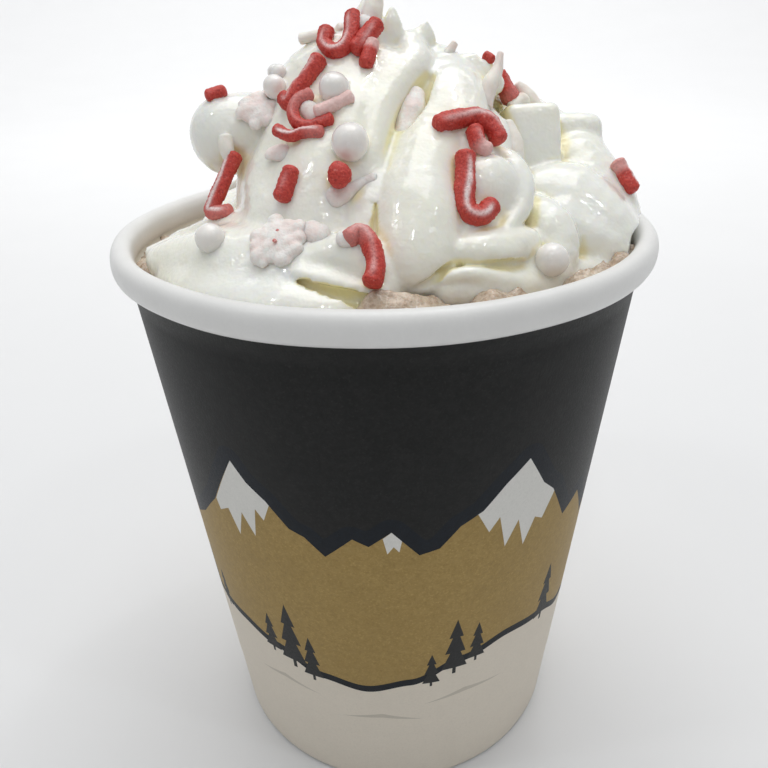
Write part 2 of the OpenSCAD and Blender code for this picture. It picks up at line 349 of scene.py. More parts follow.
# soft lumps of melted sugar: points with radii, facing, flatness
LUMPS = [
    ([(-8.7, -23.4, 95.3, 1.55), (-8.0, -24.0, 95.0, 1.6)], (-0.15, -0.65, 0.75), 1.3),
    ([(-14.0, -13.6, 102.9, 1.1), (-13.2, -13.8, 103.0, 1.3), (-12.3, -14.3, 103.1, 1.1)], (-0.65, -0.5, 0.6), 1.7),
    ([(-7.0, -20.2, 98.8, 0.9), (-5.6, -20.9, 98.9, 1.35), (-4.2, -20.3, 99.6, 1.0), (-2.5, -19.6, 100.2, 0.62), (-1.2, -19.2, 100.6, 0.7)], (0.1, -0.85, 0.5), 1.4),
    ([(-3.0, -2.8, 117.4, 0.9), (-1.9, -3.4, 117.4, 1.15), (-1.1, -3.9, 116.6, 0.9)], (0.1, -0.8, 0.6), 1.3),
    ([(-9.2, -12.6, 107.9, 1.15), (-8.3, -13.2, 107.1, 1.2)], (-0.45, -0.65, 0.6), 1.3),
    ([(-4.5, -26.6, 95.3, 1.15), (-4.0, -26.8, 95.4, 1.15)], (0.1, -0.6, 0.8), 1.1),
    ([(4.4, -7.8, 108.6, 1.5), (4.0, -9.2, 107.2, 1.9), (3.4, -10.6, 105.8, 1.7), (2.8, -12.0, 104.6, 1.4)], (-0.3, -0.6, 0.7), 1.2),
    ([(2.4, -13.0, 103.9, 1.2), (1.7, -14.6, 102.6, 1.2), (1.0, -16.0, 101.4, 0.9)], (-0.3, -0.6, 0.7), 1.2),
]


def axes_of(face, spin):
    n = np.array(face, float)
    n /= np.linalg.norm(n)
    a = np.cross(n, (0, 0, 1.0) if abs(n[2]) < 0.9 else (0, 1.0, 0))
    a /= np.linalg.norm(a)
    b = np.cross(n, a)
    s_ = math.radians(spin)
    return n, a * math.cos(s_) + b * math.sin(s_), b * math.cos(s_) - a * math.sin(s_)


# ---------------------------------------------- setting them on the cream
def slope_at(clay, p, e=0.7):
    g = np.array([sample(clay, np.array([p + v]))[0] - sample(clay, np.array([p - v]))[0] for v in np.eye(3) * e])
    return g / (np.linalg.norm(g) + 1e-9)


def settle(clay, pts, r, depth, each=False):
    """Shift points (mm) so that a piece of radius r stands out of the cream
    by depth radii at its centre line; each=True settles every point."""
    p = np.array(pts, float)
    for _ in range(3):
        d = sample(clay, p.copy())
        if each:
            for i in range(len(p)):
                p[i] -= slope_at(clay, p[i]) * np.clip(d[i] - r * depth, -2, 2)
        else:
            g = slope_at(clay, p.mean(0))
            lowest = np.sort(d)[:max(1, len(d) // 2)].mean()
            p -= g * np.clip(lowest - r * depth, -2, 2)
    return p


def find_far(clay, deg, z):
    """The cream's surface at a direction and height, and its slope there."""
    a = math.radians(deg)
    dirn = np.array([math.sin(a), -math.cos(a), 0.0])
    t = np.arange(38.0, 0.0, -0.1)
    p = dirn * t[:, None] + np.array([0, 0, z])
    d = sample(clay, p.copy())
    i = int(np.argmax(d < 0))
    q = p[i]
    return q, slope_at(clay, q, 1.2)


def set_sprinkles(clay):
    """Lists of placed pieces; the cream then creeps up round each of them."""
    canes, pearls, rods, flakes, lumps = [], [], [], [], []
    for pts, r, face, streak, p0, p1 in CANES:
        tiny = r < 0.5
        q = np.array(pts, float) if tiny else settle(clay, pts, r, 0.45)
        canes.append(([tuple(v) + (r,) for v in q], face, streak, (p0, p1)))
    for deg, z, turn, r, streak, pk in FAR_CANES:
        c, n = find_far(clay, deg, z)
        n, a, b = axes_of(n, turn)
        pts = [c + a * x + b * (y - 0.9) + n * r * 0.4 for x, y in HOOK]
        q = settle(clay, pts, r, 0.2)
        canes.append(([tuple(v) + (r,) for v in q], tuple(n), streak, (pk, 0)))
    for c, r in PEARLS:
        pearls.append((settle(clay, [c], r, 0.36)[0], r))
    for deg, z, r in FAR_PEARLS:
        c, n = find_far(clay, deg, z)
        pearls.append((settle(clay, [c + n], r, 0.38)[0], r))
    for pts, face, pk in RODS:
        rods.append((pts, face, pk))
    for deg, z, turn, r, pk in FAR_RODS:
        c, n = find_far(clay, deg, z)
        n, a, b = axes_of(n, turn)
        q = settle(clay, [c + a * x for x in (-2.4, 0, 2.3)], r, 0.3, True)
        rods.append(([tuple(v) + (r,) for v in q], tuple(n), pk))
    for c, face, r, spin, thick in FLAKES:
        q = settle(clay, [c], 1.0, 0.15)[0]
        flakes.append((q, face, r, spin, thick))
    for deg, z, r, spin in FAR_FLAKES:
        c, n = find_far(clay, deg, z)
        flakes.append((c + n * 0.1, tuple(n), r, spin, 1.25))
    lumps = list(LUMPS)
    return canes, pearls, rods, flakes, lumps


def creep(clay, canes, pearls, rods):
    """Cream drawn up a little round the sprinkles."""
    for pts, face, streak, pk in canes:
        r = pts[0][3]
        if r > 0.5:
            p = np.array(pts)
            p[0, :3] += (p[1, :3] - p[0, :3]) * min(0.45, 0.6 * r / math.dist(p[0, :3], p[1, :3]))
            p[-1, :3] += (p[-2, :3] - p[-1, :3]) * min(0.45, 0.6 * r / math.dist(p[-1, :3], p[-2, :3]))
            rope(clay, [(x, y, z, max(0.25, q - 0.38)) for x, y, z, q in p], 0.8)
    for c, r in pearls:
        egg(clay, c, (r - 0.42,) * 3, 1.3)
    for pts, face, pk in rods:
        rope(clay, [(x, y, z, max(0.2, q - 0.42)) for x, y, z, q in pts], 0.8)


# ------------------------------------------------------------ whipped cream
# All the folds, in mm, with heights measured from the drink's surface plus 86.
def build_cream():
    h = 0.42
    top = LEVEL + 38
    clay = Clay((-40, -38, LEVEL - 2.2), (40.5, 40, top), h)
    # a slow uneven drift, so that no fold is a perfect tube
    for i, axis in enumerate("xyz"):
        a = getattr(clay, axis)
        setattr(clay, axis, a + 0.75 * noise_block(clay.n, h, 9.0, 10 + i) + 0.22 * noise_block(clay.n, h, 3.6, 20 + i))
    dz = LEVEL - 86.0
    clay.z = clay.z - dz

    # the soft heart
    egg(clay, (1.5, 0, 88), (24, 23, 12), 2)
    rope(clay, [(0.5, 3, 97, 12), (0, 2, 104, 8.5), (0, 1, 110, 5.5)], 2)

    # back: rising turns of the nozzle, low towards the left
    fl = dict(ridges=6, deep=0.09, twist=0.24)
    rope(clay, [(31, 2, 92.5, 6), (28.5, 11, 92.5, 7.4), (20, 21.5, 92, 8.3), (8, 27, 92, 8), (-3, 28, 91, 6.5), (-9, 27, 90, 4.5)], 0.5, **fl)
    rope(clay, [(0, 24.5, 92.5, 6), (-10, 23, 90.6, 7), (-18, 16.5, 88.8, 6.8), (-22, 8, 88, 6), (-24.5, 0, 87.4, 4.5)], 0.5, **fl)
    rope(clay, [(25, 8, 99.5, 5.5), (19, 15, 101, 7), (9, 19, 101.5, 7.4), (-1, 18.5, 101, 6), (-6, 16, 99.5, 4.5)], 0.5, **fl)
    rope(clay, [(0, 17, 101, 5.4), (-8, 14, 100.8, 6.6), (-13.5, 7.5, 99.5, 6.2), (-16.5, 1, 98.8, 4.6)], 0.5, **fl)
    rope(clay, [(14, 4, 107.5, 4.6), (9.5, 10.5, 107.5, 5.8), (0, 12, 108.5, 5.4), (-5.5, 8.5, 108, 4.2)], 0.5, **fl)
    rope(clay, [(-1, 8, 109.5, 4), (-6.5, 5.5, 109, 4.4), (-8.5, 1, 108, 3.8)], 0.5, **fl)

    # left: the long tongue lying along the rim, with its ridge, and a low one behind it
    rope(clay, [(-32.4, -1.5, 87.6, 1.4), (-29, -1.5, 88.2, 2.4), (-25, -2.5, 88.6, 3.2), (-20, -5, 89.5, 4)], 0.5)
    rope(clay, [(-32.8, -10, 89.2, 0.7), (-29.5, -12, 88.4, 3.2), (-24.5, -14.4, 88.2, 5.4), (-18, -18, 88.4, 7.0), (-10, -21.5, 88.6, 7.2), (-4, -23, 88.4, 5.5)], 0.8)
    rope(clay, [(-32.8, -9.9, 89.6, 0.6), (-28, -10.2, 91.4, 1.3), (-23.4, -11.2, 92.9, 2.0), (-17.5, -14.5, 93.6, 2.8), (-11, -18.2, 93.6, 3.6), (-6, -20, 93.4, 4)], 1.5)
    rope(clay, [(-28, -16.5, 86.6, 2.6), (-22, -21.5, 86.6, 4.4), (-13, -27, 86.8, 4.6), (-6, -29, 86.6, 3.8)], 2.0)

    # main body, from the peak down the left front
    rope(clay, [(-3, -3, 110.8, 4.6), (-5, -6, 106.4, 6), (-6.2, -9, 102.2, 7), (-7, -12, 98, 7.8), (-8, -15, 94.5, 7.4)], 2.6)
    rope(clay, [(-7, -4, 108.2, 4.6), (-10.5, -6.5, 103.8, 5.2), (-13, -9, 99.5, 5.0)], 2.8)
    rope(clay, [(-11, -5, 101.5, 6), (-13.5, -9.5, 97.5, 5.8), (-13, -14.5, 95, 5)], 1.4)
    # upper left slope and its round lobe
    rope(clay, [(-4, -0.5, 112.2, 4.2), (-8.5, -1.5, 110.2, 4.6), (-12.2, -2.4, 107.6, 4.2)], 2.6)
    rope(clay, [(-8, -2, 105, 5.4), (-13.5, -2.6, 104.0, 5.3), (-18.5, -3, 104.1, 5.2), (-21.6, -3.2, 103.9, 5.2)], 1.0)
    rope(clay, [(-16.5, -5.5, 100.6, 3.4), (-17.2, -8.5, 97, 3.4), (-16.5, -11.5, 94, 3.2)], 1.6)

    # front: the wedge that hangs over the tongue, then the broad column
    slab(clay, (-4.4, -26.2, 91.9), (12.5, 8.0, 2.8), (1, -0.26, -0.26), (0.12, -0.6, 1), 1.2, 0.5)
    rope(clay, [(-11.2, -25.4, 92.6, 0.8), (-7.2, -24.8, 93.2, 2.2), (-3.4, -25, 92.8, 3.2), (-0.8, -26.4, 91.0, 3.0), (0.0, -27.6, 89.2, 2.2)], 0.9)
    rope(clay, [(-12.2, -26.8, 92.0, 0.3), (-9.2, -28.3, 91.0, 0.7), (-6.0, -29.4, 89.9, 0.95), (-3.0, -30.2, 89.3, 1.0), (-0.8, -30.6, 89.0, 0.8)], 0.25, cut=True)
    rope(clay, [(7.4, -8, 104.8, 4.6), (5.8, -13.4, 100.6, 5.8), (4.4, -18.6, 95.8, 6.4), (4, -22.6, 92.0, 5.9), (3.8, -24.0, 91.2, 5.0)], 0.45)
    rope(clay, [(-0.4, -15, 99.6, 3.4), (-1.6, -18.4, 96.4, 3.6), (-2.4, -21.6, 93.2, 3.6)], 0.7)
    rope(clay, [(-0.8, -16.6, 100.0, 2.1), (-1.0, -19.0, 97.6, 2.3), (-1.2, -21.6, 95.0, 2.4), (-1.2, -23.6, 92.6, 2.4)], 0.8)
    rope(clay, [(-1.0, -21.6, 98.0, 0.3), (-1.1, -23.6, 95.6, 0.5), (-1.0, -26.0, 92.4, 0.5)], 0.4, cut=True)
    # second column and, above both, the mass under the wavy crest
    rope(clay, [(9.6, -9, 104.4, 4.6), (11, -13, 100.4, 4.6), (11.2, -17.2, 96.6, 4.2), (10.3, -21, 93.6, 3.6), (9.4, -23.2, 91.8, 2.6)], 0.7)
    rope(clay, [(8.6, 0.4, 110.4, 4.2), (9.4, -3.4, 107, 5.8), (8.8, -8, 104.2, 5.6), (8.6, -11.4, 101.6, 4.8)], 0.8)
    rope(clay, [(5.6, 1.2, 111.4, 2.6), (6.4, 0.2, 114.6, 1.9), (6.9, -0.4, 117.0, 0.5)], 0.5, flat=1.5, face=(0, 1, 0.2))
    egg(clay, (10.6, -1.6, 107.6), (5.6, 4.6, 5.0), 1.0)
    rope(clay, [(6.6, -2.0, 111.2, 1.3), (9.4, -2.2, 111.6, 1.2), (11.6, -1.8, 112.4, 1.0), (13.2, -1.4, 112.9, 0.6)], 0.8)
    rope(clay, [(13.2, -1.6, 112.6, 0.6), (15.0, -1.8, 111.2, 1.1), (16.2, -2.4, 109.4, 1.3)], 0.9)

    # thick ribbon that winds down from the crest, over a deep recess
    rope(clay, [(6.6, -6.8, 111.0, 0.9), (5.0, -9.0, 108.6, 1.6), (3.4, -11.4, 106.0, 1.7), (2.4, -13.2, 104.2, 1.1)], 0.8, cut=True)
    rope(clay, [(2.6, -13.0, 101.6, 1.8), (1.0, -16.0, 99.8, 1.8), (-0.2, -18.6, 97.4, 1.8)], 0.8)
    rope(clay, [(1.0, -4.0, 111.4, 3.0), (-1.8, -7.6, 108.8, 3.5), (-3.6, -11.2, 105.6, 3.7), (-4.8, -14.4, 102.4, 3.2)], 1.4)
    rope(clay, [(4.5, -1.0, 113.8, 2.5), (5.0, -3.8, 112.4, 2.5), (2.9, -6.8, 110.8, 2.3), (0.8, -9.7, 108.6, 2.2), (-0.6, -12.5, 106.0, 2.1), (-1.7, -15.1, 103.0, 2.0), (-3.8, -17.4, 100.5, 1.8), (-6.2, -18.2, 99.4, 1.2)], 1.5)

    rope(clay, [(3.0, -12.4, 104.6, 1.2), (2.2, -14.0, 103.2, 1.4), (1.4, -15.8, 101.6, 1.5)], 0.8)

    # right front: curled disc petal, the fold under it and the small melted folds
    rope(clay, [(18.8, -11.4, 102.2, 0.9), (20.4, -14.0, 100.0, 1.5), (20.6, -16.6, 97.6, 1.6), (19.4, -19.6, 95.2, 1.3)], 0.4, cut=True)
    egg(clay, (13.2, -17.0, 97.3), (5.4, 4.1, 5.8), 0.4, turn=25)
    rope(clay, [(14.2, -11.8, 102.2, 1.2), (16.9, -13.4, 100.8, 1.5), (18.0, -16.0, 98.4, 1.6), (17.2, -18.8, 96.0, 1.5), (15.2, -21.4, 94.3, 1.2)], 1.6, flat=0.75, face=(0.2, -0.7, 0.6))
    rope(clay, [(7.6, -24.6, 92.6, 1.9), (11, -24.4, 92.8, 2.9), (14.4, -22.8, 92.6, 3.1), (17.6, -20.6, 92.4, 2.4), (19.6, -18.6, 91.8, 1.6)], 0.4, flat=1.25, face=(0.1, -0.3, 1))
    rope(clay, [(5.8, -27.2, 91.3, 0.5), (10.8, -27.6, 91.4, 0.75), (14.8, -25.8, 91.4, 0.7), (17.6, -23.6, 90.7, 0.5)], 0.25, cut=True)
    rope(clay, [(7.4, -26.2, 88.4, 2.4), (12, -25.6, 88.6, 2.6), (16.6, -23.4, 87.6, 2.8), (20.6, -21, 87, 2.6)], 0.6)
    rope(clay, [(6.4, -27.6, 90.2, 0.8), (10.0, -27.6, 90.7, 1.0), (13.6, -26.6, 89.9, 1.1), (17.2, -24.8, 88.6, 1.0), (19.8, -23.2, 87.2, 1.4)], 0.45)
    rope(clay, [(3.4, -29.0, 89.3, 0.6), (5.4, -28.6, 90.0, 0.7), (7.0, -27.7, 91.3, 0.5)], 0.25, cut=True)
    rope(clay, [(19.8, -13.8, 93.6, 3.2), (21.2, -15.8, 92.4, 3.9), (22.2, -17.4, 90.6, 3.6), (21.6, -19.6, 88.6, 3.0)], 0.7)
    egg(clay, (18.4, -21.4, 88.8), (2.8, 2.4, 2.6), 1.0)
    rope(clay, [(22.0, -20.4, 87.4, 2.2), (25.0, -18.0, 87.2, 2.0), (29, -15.4, 87.2, 2.0)], 1.0)

    # right: petals with cut ends and the big slope down to the rim
    rope(clay, [(14.4, -4.0, 105.8, 1.9), (15.6, -6.6, 103.4, 2.4), (15.8, -9.2, 101.2, 2.1)], 0.4, flat=1.15, face=(1, 0, 0))
    slab(clay, (21.2, -2.4, 101.4), (7.6, 5.6, 10.4), (1, 0.10, -0.02), (0.02, 0.34, 1), 1.3, 0.35)
    slab(clay, (28.2, 4.2, 99.8), (8.2, 7.5, 9.2), (1, 0.1, -0.02), (-0.16, 0.1, 1), 1.7, 0.35)
    rope(clay, [(19, -6.5, 92.4, 5.4), (24.4, -6.8, 92.6, 6.9), (28.6, -8.8, 91.2, 6.3), (31.8, -11.2, 89.2, 4.4)], 0.6)
    rope(clay, [(28.6, 0.8, 96.2, 6.0), (31.6, -4, 93.2, 5.0), (33.6, -8.5, 90.4, 3.4)], 1.6)
    rope(clay, [(24.5, -12.5, 92.4, 3.4), (28.4, -13.2, 89.9, 3.6), (31.4, -13, 88.2, 2.6)], 1.2)

    # the peak
    rope(clay, [(-1.5, -0.6, 111.5, 4.4), (-1.4, -0.9, 115.2, 3.2), (-1.0, -0.4, 117.8, 1.9), (-0.6, 0, 119.6, 1.1)], 0.8)
    rope(clay, [(1.2, -1.4, 113, 2.4), (2.0, -2.0, 116.2, 1.6), (2.2, -2.0, 118.6, 0.6)], 0.4, flat=1.3, face=(0, 1, 0))

    # the sprinkles find their places, then the cream creeps up round them;
    # for both the straight grid is used, without the drift
    ax = [clay.lo[i] + h * np.arange(clay.n[i]) for i in range(3)]
    gx, gy, gz = [v.astype(np.float32) for v in np.meshgrid(*ax, indexing="ij")]
    clay.x, clay.y, clay.z = gx, gy, gz - dz
    clay.lo = clay.lo - np.array([0, 0, dz])
    placed = set_sprinkles(clay)
    creep(clay, *placed[:3])
    clay.lo = clay.lo + np.array([0, 0, dz])
    # small unevenness of the surface
    clay.d += 0.10 * noise_block(clay.n, h, 1.7, 31) + 0.05 * noise_block(clay.n, h, 0.95, 32)
    # keep clear of the cup, cut flat a little under the drink's surface
    rad = np.sqrt(gx * gx + gy * gy)
    lim = inner_r(LEVEL) - 0.45 + np.clip(gz - CUP_H - 0.4, 0, 3) * 0.9
    clay.d = np.maximum(clay.d, (rad - lim).astype(np.float32))
    clay.d = np.maximum(clay.d, (LEVEL - 1.2 - gz).astype(np.float32))
    ob = clay_mesh(clay, "cream", 0.01)
    # how enclosed each point is, from the distances a little way out; the cream's material uses it to paint yellow
    # shade into the creases
    me = ob.data
    n = len(me.vertices)
    co = np.empty(n * 3)
    me.vertices.foreach_get("co", co)
    nr = np.empty(n * 3)
    me.vertices.foreach_get("normal", nr)
    co, nr = co.reshape(-1, 3) / MM, nr.reshape(-1, 3)
    crease_shade_amount = np.zeros(n)
    for dist, wgt in ((1.0, 0.35), (2.2, 0.35), (4.0, 0.3)):
        crease_shade_amount += wgt * np.clip(1 - sample(clay, co + nr * dist) / dist, 0, 1.6)
    at = me.attributes.new("painted_crease_shade", "FLOAT", "POINT")
    at.data.foreach_set("value", crease_shade_amount.astype(np.float32))
    return ob, clay, placed


# ----------------------------------------------------------------- helpers
def new_object(name, verts, faces, smooth=True, mats=None, scale=MM):
    me = bpy.data.meshes.new(name)
    me.from_pydata([(float(v[0]) * scale, float(v[1]) * scale, float(v[2]) * scale) for v in verts], [], faces)
    me.update()
    if smooth:
        me.polygons.foreach_set("use_smooth", np.ones(len(me.polygons), bool))
    if mats is not None:
        me.polygons.foreach_set("material_index", np.array(mats, np.int32))
    ob = bpy.data.objects.new(name, me)
    bpy.context.scene.collection.objects.link(ob)
    return ob


class Nodes:
    """Short hand for building a node material."""

    def __init__(self, name):
        self.mat = bpy.data.materials.new(name)
        self.mat.use_nodes = True
        self.t = self.mat.node_tree
        self.t.nodes.clear()
        self.out = self.t.nodes.new("ShaderNodeOutputMaterial")
        self.bsdf = self.t.nodes.new("ShaderNodeBsdfPrincipled")
        self.t.links.new(self.bsdf.outputs[0], self.out.inputs[0])
        self.coord = self.t.nodes.new("ShaderNodeTexCoord").outputs["Object"]

    def put(self, sock, val):
        if hasattr(val, "is_linked"):
            self.t.links.new(val, sock)
        elif isinstance(val, (tuple, list)) and len(val) == 3 and sock.type == "RGBA":
            sock.default_value = (*val, 1.0)
        else:
            sock.default_value = val

    def set(self, **kw):
        for k, v in kw.items():
            self.put(self.bsdf.inputs[k.replace("_", " ")], v)
        return self

    def noise(self, wave_mm, detail=2.0, rough=0.5, coord=None, dist=0.0):
        n = self.t.nodes.new("ShaderNodeTexNoise")
        self.t.links.new(coord or self.coord, n.inputs["Vector"])
        n.inputs["Scale"].default_value = 1000.0 / wave_mm
        n.inputs["Detail"].default_value = detail
        n.inputs["Roughness"].default_value = rough
        n.inputs["Distortion"].default_value = dist
        return n.outputs["Fac"]

    def voronoi(self, wave_mm, feature="F1", smooth=0.0, coord=None, rand=1.0):
        n = self.t.nodes.new("ShaderNodeTexVoronoi")
        self.t.links.new(coord or self.coord, n.inputs["Vector"])
        n.feature = feature
        n.inputs["Scale"].default_value = 1000.0 / wave_mm
        n.inputs["Randomness"].default_value = rand
        if feature == "SMOOTH_F1":
            n.inputs["Smoothness"].default_value = smooth
        return n.outputs["Distance"]

    def stretch(self, x, y, z):
        n = self.t.nodes.new("ShaderNodeMapping")
        n.inputs["Scale"].default_value = (x, y, z)
        self.t.links.new(self.coord, n.inputs["Vector"])
        return n.outputs["Vector"]

    def ramp(self, fac, stops, mode="EASE"):
        n = self.t.nodes.new("ShaderNodeValToRGB")
        n.color_ramp.interpolation = mode
        e = n.color_ramp.elements
        while len(e) < len(stops):
            e.new(0.5)
        for el, (p, c) in zip(e, stops):
            el.position = p
            el.color = (*c, 1.0) if isinstance(c, (tuple, list)) else (c, c, c, 1.0)
        self.put(n.inputs[0], fac)
        return n.outputs["Color"]

    def math(self, op, a, b=0.0, c=None, clamp=False):
        n = self.t.nodes.new("ShaderNodeMath")
        n.operation = op
        n.use_clamp = clamp
        self.put(n.inputs[0], a)
        self.put(n.inputs[1], b)
        if c is not None:
            self.put(n.inputs[2], c)
        return n.outputs[0]

    def mix(self, fac, a, b, blend="MIX"):
        n = self.t.nodes.new("ShaderNodeMix")
        n.data_type = "RGBA"
        n.blend_type = blend
        self.put(n.inputs["Factor"], fac)
        self.put(n.inputs[6], a)
        self.put(n.inputs[7], b)
        return n.outputs[2]

    def attr(self, name):
        n = self.t.nodes.new("ShaderNodeAttribute")
        n.attribute_name = name
        return n.outputs["Fac"]

    def bump(self, height, mm, strength=1.0, normal=None):
        n = self.t.nodes.new("ShaderNodeBump")
        n.inputs["Strength"].default_value = strength
        n.inputs["Distance"].default_value = mm * MM
        self.put(n.inputs["Height"], height)
        if normal is not None:
            self.t.links.new(normal, n.inputs["Normal"])
        return n.outputs["Normal"]


# --------------------------------------------------------------- materials
def paper(name, color, mottle=0.10, rough=0.62, grain=1.0, tint=None, sheen=0.0, spec=0.35):
    """Printed paper board: mottled ink, fine fibres, matt with a faint sheen."""
    n = Nodes(name)
    fine = n.noise(0.35, 3.0, 0.65)
    wide = n.noise(5.0, 2.0, 0.5)
    speck = n.noise(0.9, 2.0, 0.6)
    dark = tuple(max(0.0, c * (1 - mottle * 2.0)) for c in color)
    light = tuple(min(1.0, c * (1 + mottle * 1.6)) for c in (tint or color))
    c1 = n.ramp(fine, [(0.28, dark), (0.5, color), (0.74, light)])
    c2 = n.mix(n.ramp(speck, [(0.35, 0.0), (0.75, 0.35)]), c1, light)
    c3 = n.mix(n.ramp(wide, [(0.3, 0.0), (0.8, 0.25)]), c2, dark)
    n.set(Base_Color=c3, Roughness=n.ramp(fine, [(0.2, rough - 0.07), (0.8, rough + 0.1)]))
    n.bsdf.inputs["Specular IOR Level"].default_value = spec
    if sheen:
        n.bsdf.inputs["Sheen Weight"].default_value = sheen
        n.bsdf.inputs["Sheen Roughness"].default_value = 0.35
    fib = n.noise(0.22, 2.0, 0.6, coord=n.stretch(1, 1, 0.35))
    n.set(Normal=n.bump(n.math("ADD", n.math("MULTIPLY", fib, 0.5), n.math("MULTIPLY", fine, 0.5)), 0.05 * grain, 0.8))
    return n.mat


def rim_paper(name, color):
    """White coated paper of the roll: smooth with faint pressed unevenness."""
    n = Nodes(name)
    wide = n.noise(6.0, 2.0, 0.5)
    fine = n.noise(0.5, 2.0, 0.6)
    c = n.mix(n.ramp(wide, [(0.3, 0.0), (0.75, 1.0)]), color, tuple(v * 0.965 for v in color))
    n.set(Base_Color=n.mix(n.ramp(fine, [(0.3, 0.0), (0.8, 0.35)]), c, tuple(v * 0.94 for v in color)))
    n.set(Roughness=n.ramp(fine, [(0.2, 0.34), (0.8, 0.46)]))
    n.bsdf.inputs["Coat Weight"].default_value = 0.15
    n.bsdf.inputs["Coat Roughness"].default_value = 0.25
    n.set(Normal=n.bump(n.math("ADD", wide, n.math("MULTIPLY", fine, 0.12)), 0.12, 0.5))
    return n.mat


def cream_material():
    n = Nodes("whipped_cream")
    crease_shade_amount = n.attr("painted_crease_shade")
    wide = n.noise(7.0, 2.0, 0.5)
    fine = n.noise(0.8, 2.0, 0.55)
    big = n.noise(22.0, 1.0, 0.5)
    openc = n.mix(n.ramp(big, [(0.35, 0.0), (0.65, 1.0)]), (0.915, 0.925, 0.87), (0.92, 0.912, 0.80))
    openc = n.mix(n.ramp(wide, [(0.3, 0.0), (0.75, 0.35)]), openc, (0.91, 0.895, 0.78))
    # painted shade: creases are tinted yellow by how enclosed they are, standing in for the shaded colour deep in the
    # folds
    crease_shade_colour = n.mix(n.ramp(wide, [(0.35, 0.0), (0.7, 1.0)]), (0.92, 0.865, 0.54), (0.91, 0.83, 0.58))
    n.set(Base_Color=n.mix(n.ramp(crease_shade_amount, [(0.26, 0.0), (0.68, 1.0)]), openc, crease_shade_colour))
    n.set(Roughness=n.ramp(n.noise(2.4, 2.0, 0.5), [(0.3, 0.12), (0.7, 0.26)]))
    b = n.bsdf
    b.inputs["Subsurface Weight"].default_value = 0.40
    b.inputs["Subsurface Radius"].default_value = (1.0, 0.85, 0.55)
    b.inputs["Subsurface Scale"].default_value = 1.1 * MM
    b.inputs["IOR"].default_value = 1.42
    b.inputs["Coat Weight"].default_value = 0.7
    b.inputs["Coat Roughness"].default_value = 0.05
    h = n.math("ADD", n.math("MULTIPLY", n.noise(1.6, 2.0, 0.5), 1.0), n.math("MULTIPLY", fine, 0.25))
    n.set(Normal=n.bump(h, 0.23, 0.55))
    return n.mat


def foam_material():
    """Cocoa foam: pinkish brown, paler where it froths, pricked with bubbles."""
    n = Nodes("cocoa_foam")
    wide = n.noise(4.5, 3.0, 0.55, dist=0.6)
    cells = n.voronoi(0.75, "F1")
    cells2 = n.voronoi(0.32, "F1")
    cells3 = n.voronoi(1.7, "F1")
    base = n.ramp(wide, [(0.30, (0.33, 0.215, 0.140)), (0.5, (0.47, 0.345, 0.245)), (0.72, (0.66, 0.555, 0.43))])
    rim = n.ramp(cells, [(0.0, 0.0), (0.35, 0.15), (0.6, 0.5)])
    col = n.mix(rim, base, (0.68, 0.58, 0.46))
    col = n.mix(n.ramp(cells2, [(0.05, 0.45), (0.35, 0.0)]), col, (0.25, 0.17, 0.13))
    n.set(Base_Color=col, Roughness=n.ramp(wide, [(0.3, 0.16), (0.7, 0.34)]))
    b = n.bsdf
    b.inputs["Subsurface Weight"].default_value = 0.25
    b.inputs["Subsurface Radius"].default_value = (1.0, 0.6, 0.4)
    b.inputs["Subsurface Scale"].default_value = 1.0 * MM
    b.inputs["Coat Weight"].default_value = 0.4
    b.inputs["Coat Roughness"].default_value = 0.1
    h = n.math("ADD", n.math("MULTIPLY", cells, -0.5), n.math("ADD", n.math("MULTIPLY", cells2, -0.25), n.math("MULTIPLY", cells3, -0.6)))
    n.set(Normal=n.bump(h, 0.45, 0.6))
    return n.mat


def cane_material():
    """Pressed sugar: grainy red, rubbed to white along the streak, pink at
    one end. The attributes hold how white and how pink each point is."""
    n = Nodes("cane_sugar")
    grain = n.noise(0.28, 2.0, 0.6)
    blot = n.noise(1.5, 2.0, 0.6)
    red = n.ramp(grain, [(0.25, (0.32, 0.017, 0.012)), (0.5, (0.56, 0.045, 0.030)), (0.8, (0.74, 0.125, 0.085))])
    red = n.mix(n.ramp(blot, [(0.35, 0.0), (0.75, 0.35)]), red, (0.60, 0.065, 0.055))
    white = n.math("MULTIPLY", n.attr("white"), n.ramp(grain, [(0.3, 0.6), (0.55, 1.0)]), clamp=True)
    c = n.mix(white, red, (0.93, 0.78, 0.76))
    c = n.mix(n.ramp(n.noise(0.45, 2.0, 0.7), [(0.58, 0.0), (0.80, 0.30)]), c, (0.86, 0.50, 0.45))
    c = n.mix(n.attr("pink"), c, (0.86, 0.60, 0.56))
    n.set(Base_Color=c, Roughness=n.ramp(grain, [(0.2, 0.42), (0.8, 0.62)]))
    b = n.bsdf
    b.inputs["Subsurface Weight"].default_value = 0.12
    b.inputs["Subsurface Radius"].default_value = (1.0, 0.4, 0.35)
    b.inputs["Subsurface Scale"].default_value = 0.3 * MM
    n.set(Normal=n.bump(n.math("ADD", grain, n.math("MULTIPLY", blot, 0.5)), 0.16, 0.7))
    return n.mat


